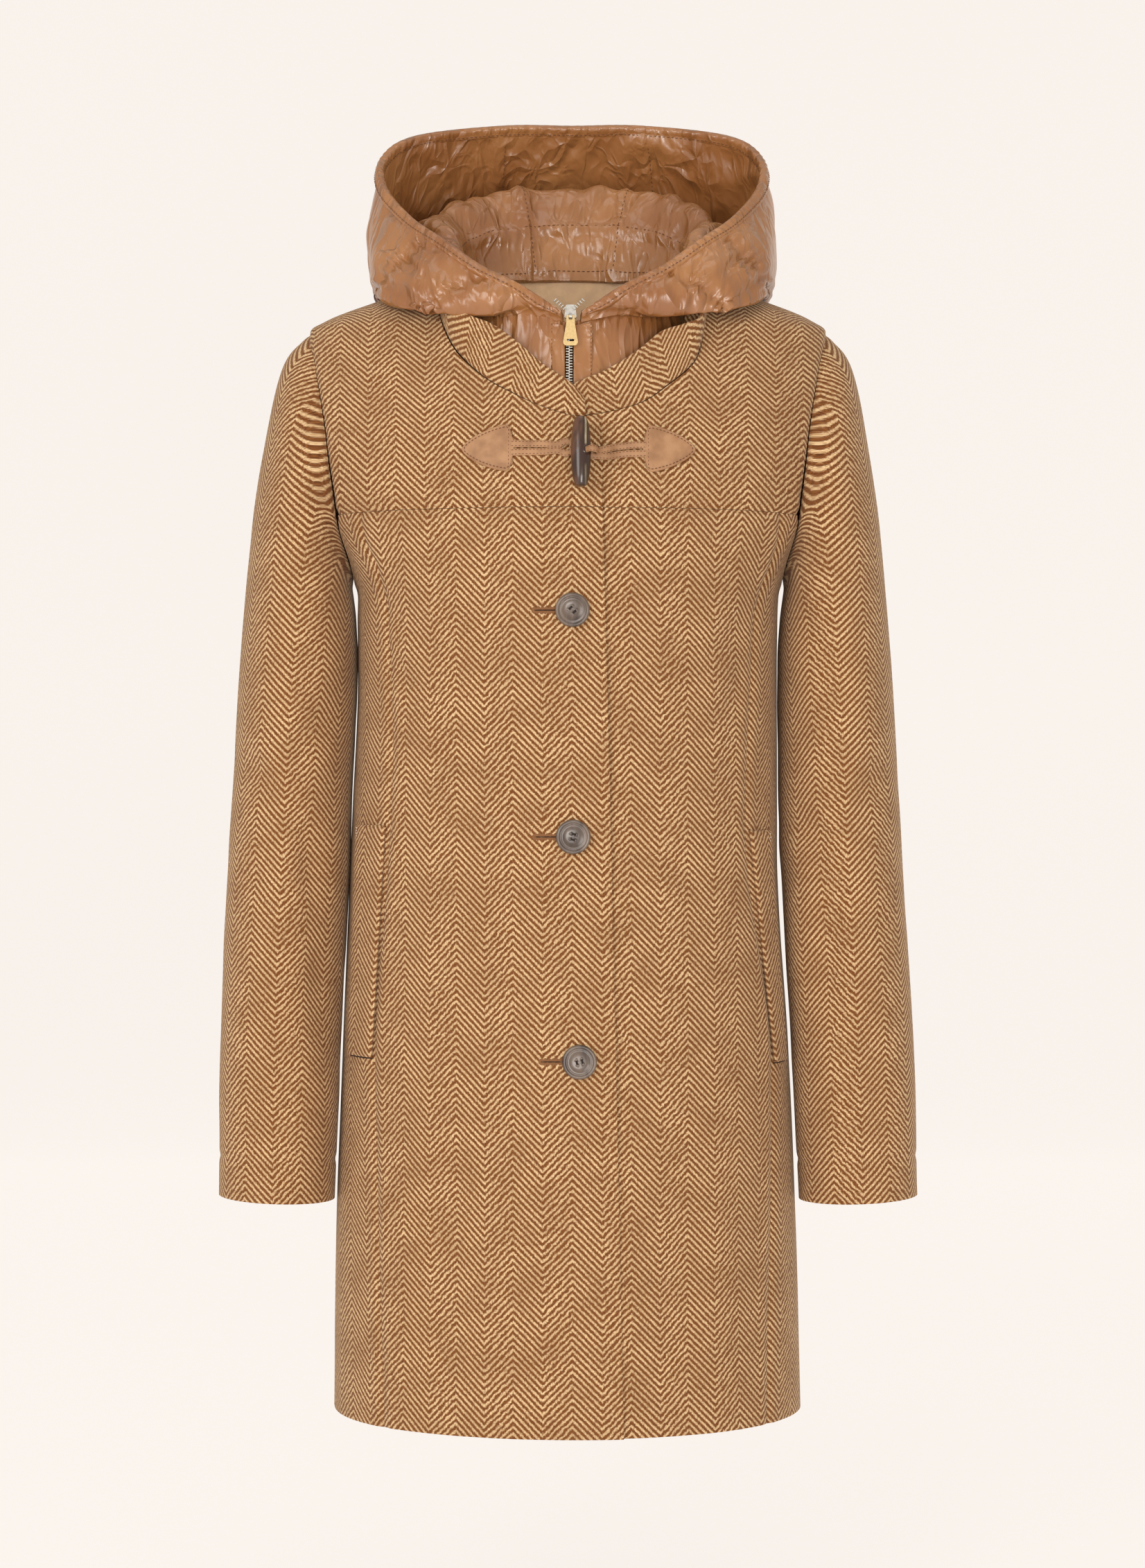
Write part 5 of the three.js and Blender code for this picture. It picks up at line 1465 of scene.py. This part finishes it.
def binding_piece():
    """The folded strip over the hood's edge: a pressed circle carried along the brim, drawn in at
    its stitching, with gathers that slant across it as a sine of the length."""
    around = np.linspace(0, 1, 2 * HOOD_COLUMNS + 1)
    edge = hood_surface(around, np.array([1.0]))[0]
    inside = hood_surface(around, np.array([0.97]))[0]
    below = unit(inside - edge)
    line = unit(np.gradient(edge, axis=0))
    out = unit(np.cross(line, below))
    below = np.cross(out, line)
    if out[len(out) // 2, 1] < 0:
        out = -out
    length = np.concatenate([[0], np.cumsum(np.linalg.norm(np.diff(edge, axis=0), axis=-1))])
    angle = np.linspace(0, 2 * np.pi, 25)
    a, b = squared_ring(angle, 0.6)
    ends = smooth(np.minimum(length, length[-1] - length) / 0.02)
    half_width = mix(0.0024, 0.0045, ends)[:, None]
    half_thick = mix(0.0024, 0.0033, ends)[:, None]
    slanted = length[:, None] + 0.0025 * a
    wander = 1.5 * np.sin(length / 0.02)[:, None]
    gather = 1 + 0.13 * np.sin(2 * np.pi * slanted / 0.0078 + wander) * np.abs(b)
    waist = 1 - 0.16 * np.exp(-(((a - 0.45) / 0.18) ** 2)) * np.abs(b)
    middle = edge + below * half_width - out * (PADDED / 2)
    points = (
        middle[:, None]
        + below[:, None] * (half_width * a)[..., None]
        + out[:, None] * (half_thick * b * gather * waist)[..., None]
    )
    normal_side = points - middle[:, None]
    uv = np.stack(np.broadcast_arrays(length[:, None], angle[None, :] * 0.003), axis=-1)
    obj = grid_object("hood_binding_nylon", points, uv, normal_side, wraps=True)
    finish_piece(obj, NYLON_CLOTH, "brown_nylon", "hood_binding")
    paths = []
    for face in (-1, 1):
        path = middle + below * (0.45 * half_width) + out * (face * 0.95 * half_thick)
        paths.append((path, out * face))
    stitches("hood_binding_stitches", paths, BINDING_STITCH, NYLON_THREAD_PAINTED_SHADE, "brown_nylon")


def bib_surface(side, u, v):
    """Straight lines from a curve at the bottom up to the hood's neck seam, the inner edge beside
    the zip."""
    reach = 4 / (len(HOOD_ROUND) - 1)
    around = reach * u if side < 0 else 1 - reach * u
    top = hood_surface(around, np.array([0.0]))[0] + (0, 0.0008, 0.0008)
    edge = ZIP_HALF + SEAM + side * ZIP_X
    top_x = np.abs(top[:, 0]) + (edge - HOOD[0, 0, 0]) * (1 - u) ** 4
    top = point(side * top_x, top[:, 1], top[:, 2])
    low = point(side * top_x * mix(1, 1.12, u), mix(-0.106, -0.062, u**2), BIB_BOTTOM_Z + 0 * u)
    return low[None] * (1 - v[:, None, None]) + top[None] * v[:, None, None]


def bib_piece(side):
    """Half of the bib, crumpled, with gathers below the hood and beside the zip."""
    u = eased(0.13, 0.0018)
    v = eased(0.115, 0.0018)
    base = bib_surface(side, u, v)
    normal = slopes_normal(base, (0, -1, 0))
    across, along = arcs(base)
    gathers = puckers(along[-1:] - along, across, 0.0011, 0.007, 0.012)
    gathers = gathers + puckers(across, along, 0.0005, 0.006, 0.01)
    depth = 0.5 * crumple(base, 71 + side) * smooth(across / 0.012) + gathers
    depth = np.clip(depth, -0.0015, 0.0035)
    points = base - normal * depth[..., None]
    uv = np.stack([across, along], axis=-1)
    name = "bib_" + SIDE_NAME[side]
    obj = grid_object(name + "_nylon", points, uv, normal)
    thicken(obj, NYLON - 0.0003, 0.0003)
    finish_piece(obj, NYLON_CLOTH, "brown_nylon", name)
    declare_sheet(base)


def placket_piece(side):
    """The band beside the zip, with a row of stitches along its outer edge."""
    u = eased(0.02, 0.0008) * PLACKET_SHARE[side]
    v = mix(0.02, 0.97, eased(0.11, 0.0015))
    base = bib_surface(side, u, v)
    normal = slopes_normal(base, (0, -1, 0))
    across, along = arcs(base)
    outer = across[:, -1:] - across
    depth = 0.0006 * np.exp(-np.minimum(across, outer) / 0.0008)
    depth = depth + puckers(outer, along, 0.0003, 0.005, 0.005)
    points = base + normal * (SEAM + 0.0011 - depth)[..., None]
    uv = np.stack([across, along], axis=-1)
    name = "placket_" + SIDE_NAME[side]
    obj = grid_object(name + "_nylon", points, uv, normal)
    thicken(obj, 0.001, 0.0003)
    finish_piece(obj, NYLON_CLOTH, "brown_nylon", name)
    declare_sheet(base)
    column = int(0.82 * len(u))
    row = (points[:, column], normal[:, column])
    stitches(name + "_stitches", [row], PLACKET_STITCH, NYLON_THREAD_PAINTED_SHADE, "brown_nylon")


def tooth_shape():
    """One zip tooth in millimetres: an outline with a rounded nose, in four layers of which the
    outer two are smaller. Its points, and its faces as quads that point outwards."""
    lower = np.array([(0, -0.4), (1.7, -0.4), (2.3, -0.62), (2.75, -0.35)])
    outline = np.concatenate([lower, lower[::-1] * (1, -1)])
    depth = np.array([-0.85, -0.65, 0.65, 0.85])[:, None]
    scale = np.array([0.85, 1.0, 1.0, 0.85])[:, None]
    vertices = point(outline[:, 0], depth, outline[:, 1] * scale).reshape(-1, 3)
    ids = np.arange(32).reshape(4, 8)
    cap = np.array([(0, 1, 6, 7), (1, 2, 5, 6), (2, 3, 4, 5)])
    faces = np.concatenate([ring_walls(ids), ids[0][cap], ids[-1][cap[:, ::-1]]])
    return vertices / 1000, faces


def zip_piece():
    """Two rows of teeth meshed below the slider, and spread in a Y above it."""
    vertices, faces = tooth_shape()
    seam_line = bib_surface(1, np.array([0.0]), np.linspace(0, 1.05, 40))[:, 0]
    teeth = []
    quads = []
    for side in (-1, 1):
        z = np.arange(BIB_BOTTOM_Z + 0.002, ZIP_TOP_Z, ZIP_PITCH) + (ZIP_PITCH / 2 if side > 0 else 0)
        y = np.interp(z, seam_line[:, 2], seam_line[:, 1])
        closed = vertices * (-side, 1, 1) + point(ZIP_X + side * 0.0024, y - 0.0009, z)[:, None]
        turn = np.array([(-0.7 * side, 0, 0.7), (0, 1, 0), (0.7 * side, 0, 0.7)])
        k = np.arange(5)
        spread_x = ZIP_X + side * (0.0046 + 0.0017 * k)
        spread = vertices @ turn + point(spread_x, -0.0945 + 0.0003 * k, -0.0348 + 0.0016 * k)[:, None]
        first = len(vertices) * (np.arange(len(closed) + len(spread)) + sum(map(len, teeth)))
        teeth.append(np.concatenate([closed, spread]))
        quads.append(first[:, None, None] + (faces if side < 0 else faces[:, ::-1]))
    obj = mesh_object(
        "zip_teeth_metal",
        np.concatenate(teeth).reshape(-1, 3),
        np.concatenate(quads).reshape(-1, 4),
        rounded=False,
    )
    finish_piece(obj, SILVER, "silver_zip", "zip_teeth")


def facing_piece():
    """The satin strip inside the back of the neck."""
    u = eased(0.1, 0.002)[None, :]
    v = eased(0.037, 0.002)[:, None]
    x = mix(-0.048, 0.048, u) + 0 * v
    p, _ = on_body(1, x, 0 * x)
    inward = unit(p * (-1, -1, 0))
    p = p + inward * (WOOL + 5 * SEAM)
    base = point(p[..., 0], p[..., 1], mix(-0.03, 0.0135, v) + 0 * x)
    depth = 0.0004 * lattice_noise(base / 0.012, 91)
    points = base + inward * (depth + 0.001)[..., None]
    uv = np.stack(np.broadcast_arrays(x, base[..., 2]), axis=-1)
    obj = grid_object("neck_facing_satin", points, uv, inward)
    thicken(obj, 0.001, 0.0003)
    finish_piece(obj, SATIN, "tan_satin", "neck_facing")
    declare_sheet(base)


# Everything put together

for side in (-1, 1):
    front_panel(side)
    side_front_panel(side)
    yoke_panel(side)
    sleeve_panel(side)
    welt_piece(side)
    patch_piece(side)
    bib_piece(side)
    placket_piece(side)
back_panel()
collar_piece()
loops()
toggle_piece()
for button in BUTTONS:
    button_piece(button)
    buttonhole(button)
hood_piece()
binding_piece()
zip_piece()
facing_piece()
for node_name, metal in (("zip_slider", SILVER), ("zip_pull", PALE_GOLD)):
    node = bpy.data.objects[node_name]
    node.data.materials.clear()
    node.data.materials.append(metal)


# Studio


def backdrop():
    """A pale floor that curves up, by a quarter circle, into the background."""
    t = np.linspace(0, np.pi / 2, 24)
    radius = 0.8
    y = np.concatenate([[-4.5], 2.6 + radius * np.sin(t), [2.6 + radius]])
    z = np.concatenate([[FLOOR_Z], FLOOR_Z + radius * (1 - np.cos(t)), [2.6]])
    x = np.linspace(-4, 4, 9)
    points = point(x[None, :] + 0 * y[:, None], y[:, None] + 0 * x, z[:, None] + 0 * x)
    obj = grid_object("backdrop", points, points[..., :2], np.array((0.0, -1.0, 1.0)))
    s = Shader("pale backdrop")
    tone = s.noise(0.7, 1.0)
    colour = s.mix_colour(tone, (0.1, 0.095, 0.09, 1.0), (0.12, 0.114, 0.108, 1.0))
    s.set(Base_Color=colour, Roughness=0.95)
    s.set(Emission_Color=srgb(250, 243, 237), Emission_Strength=0.89)
    obj.data.materials.append(s.material)


def area_light(name, at, target, size, power):
    """A rectangular lamp at a place, turned to a target."""
    light = bpy.data.lights.new(name, "AREA")
    light.shape = "RECTANGLE"
    light.size, light.size_y = size
    light.energy = power
    light.color = LAMP_COLOUR
    obj = bpy.data.objects.new(name, light)
    obj.location = at
    obj.rotation_euler = (Vector(target) - Vector(at)).to_track_quat("-Z", "Y").to_euler()
    bpy.context.scene.collection.objects.link(obj)


def studio():
    """Soft light from the left, the front and above, a pale world and the camera."""
    backdrop()
    area_light("key", (-1.5, -2.2, 0.4), (0, 0, -0.45), (1.2, 1.4), 26)
    area_light("fill", (0.5, -3.0, -0.6), (0, 0, -0.35), (1.0, 1.0), 36)
    area_light("top", (0.1, -0.6, 1.9), (0, 0, -0.2), (1.4, 1.0), 5)
    world = bpy.data.worlds.new("studio")
    world.use_nodes = True
    background = next(n for n in world.node_tree.nodes if n.type == "BACKGROUND")
    background.inputs[0].default_value = (1.0, 0.955, 0.92, 1.0)
    background.inputs[1].default_value = 0.55
    scene = bpy.context.scene
    scene.world = world
    scene.view_settings.view_transform = "Standard"
    camera = bpy.data.cameras.new("camera")
    camera.lens = CAMERA_LENS
    camera.sensor_width = 36
    camera.sensor_fit = "AUTO"
    obj = bpy.data.objects.new("camera", camera)
    obj.location = CAMERA_PLACE
    obj.rotation_euler = (math.pi / 2, 0, 0)
    scene.collection.objects.link(obj)
    scene.camera = obj


studio()
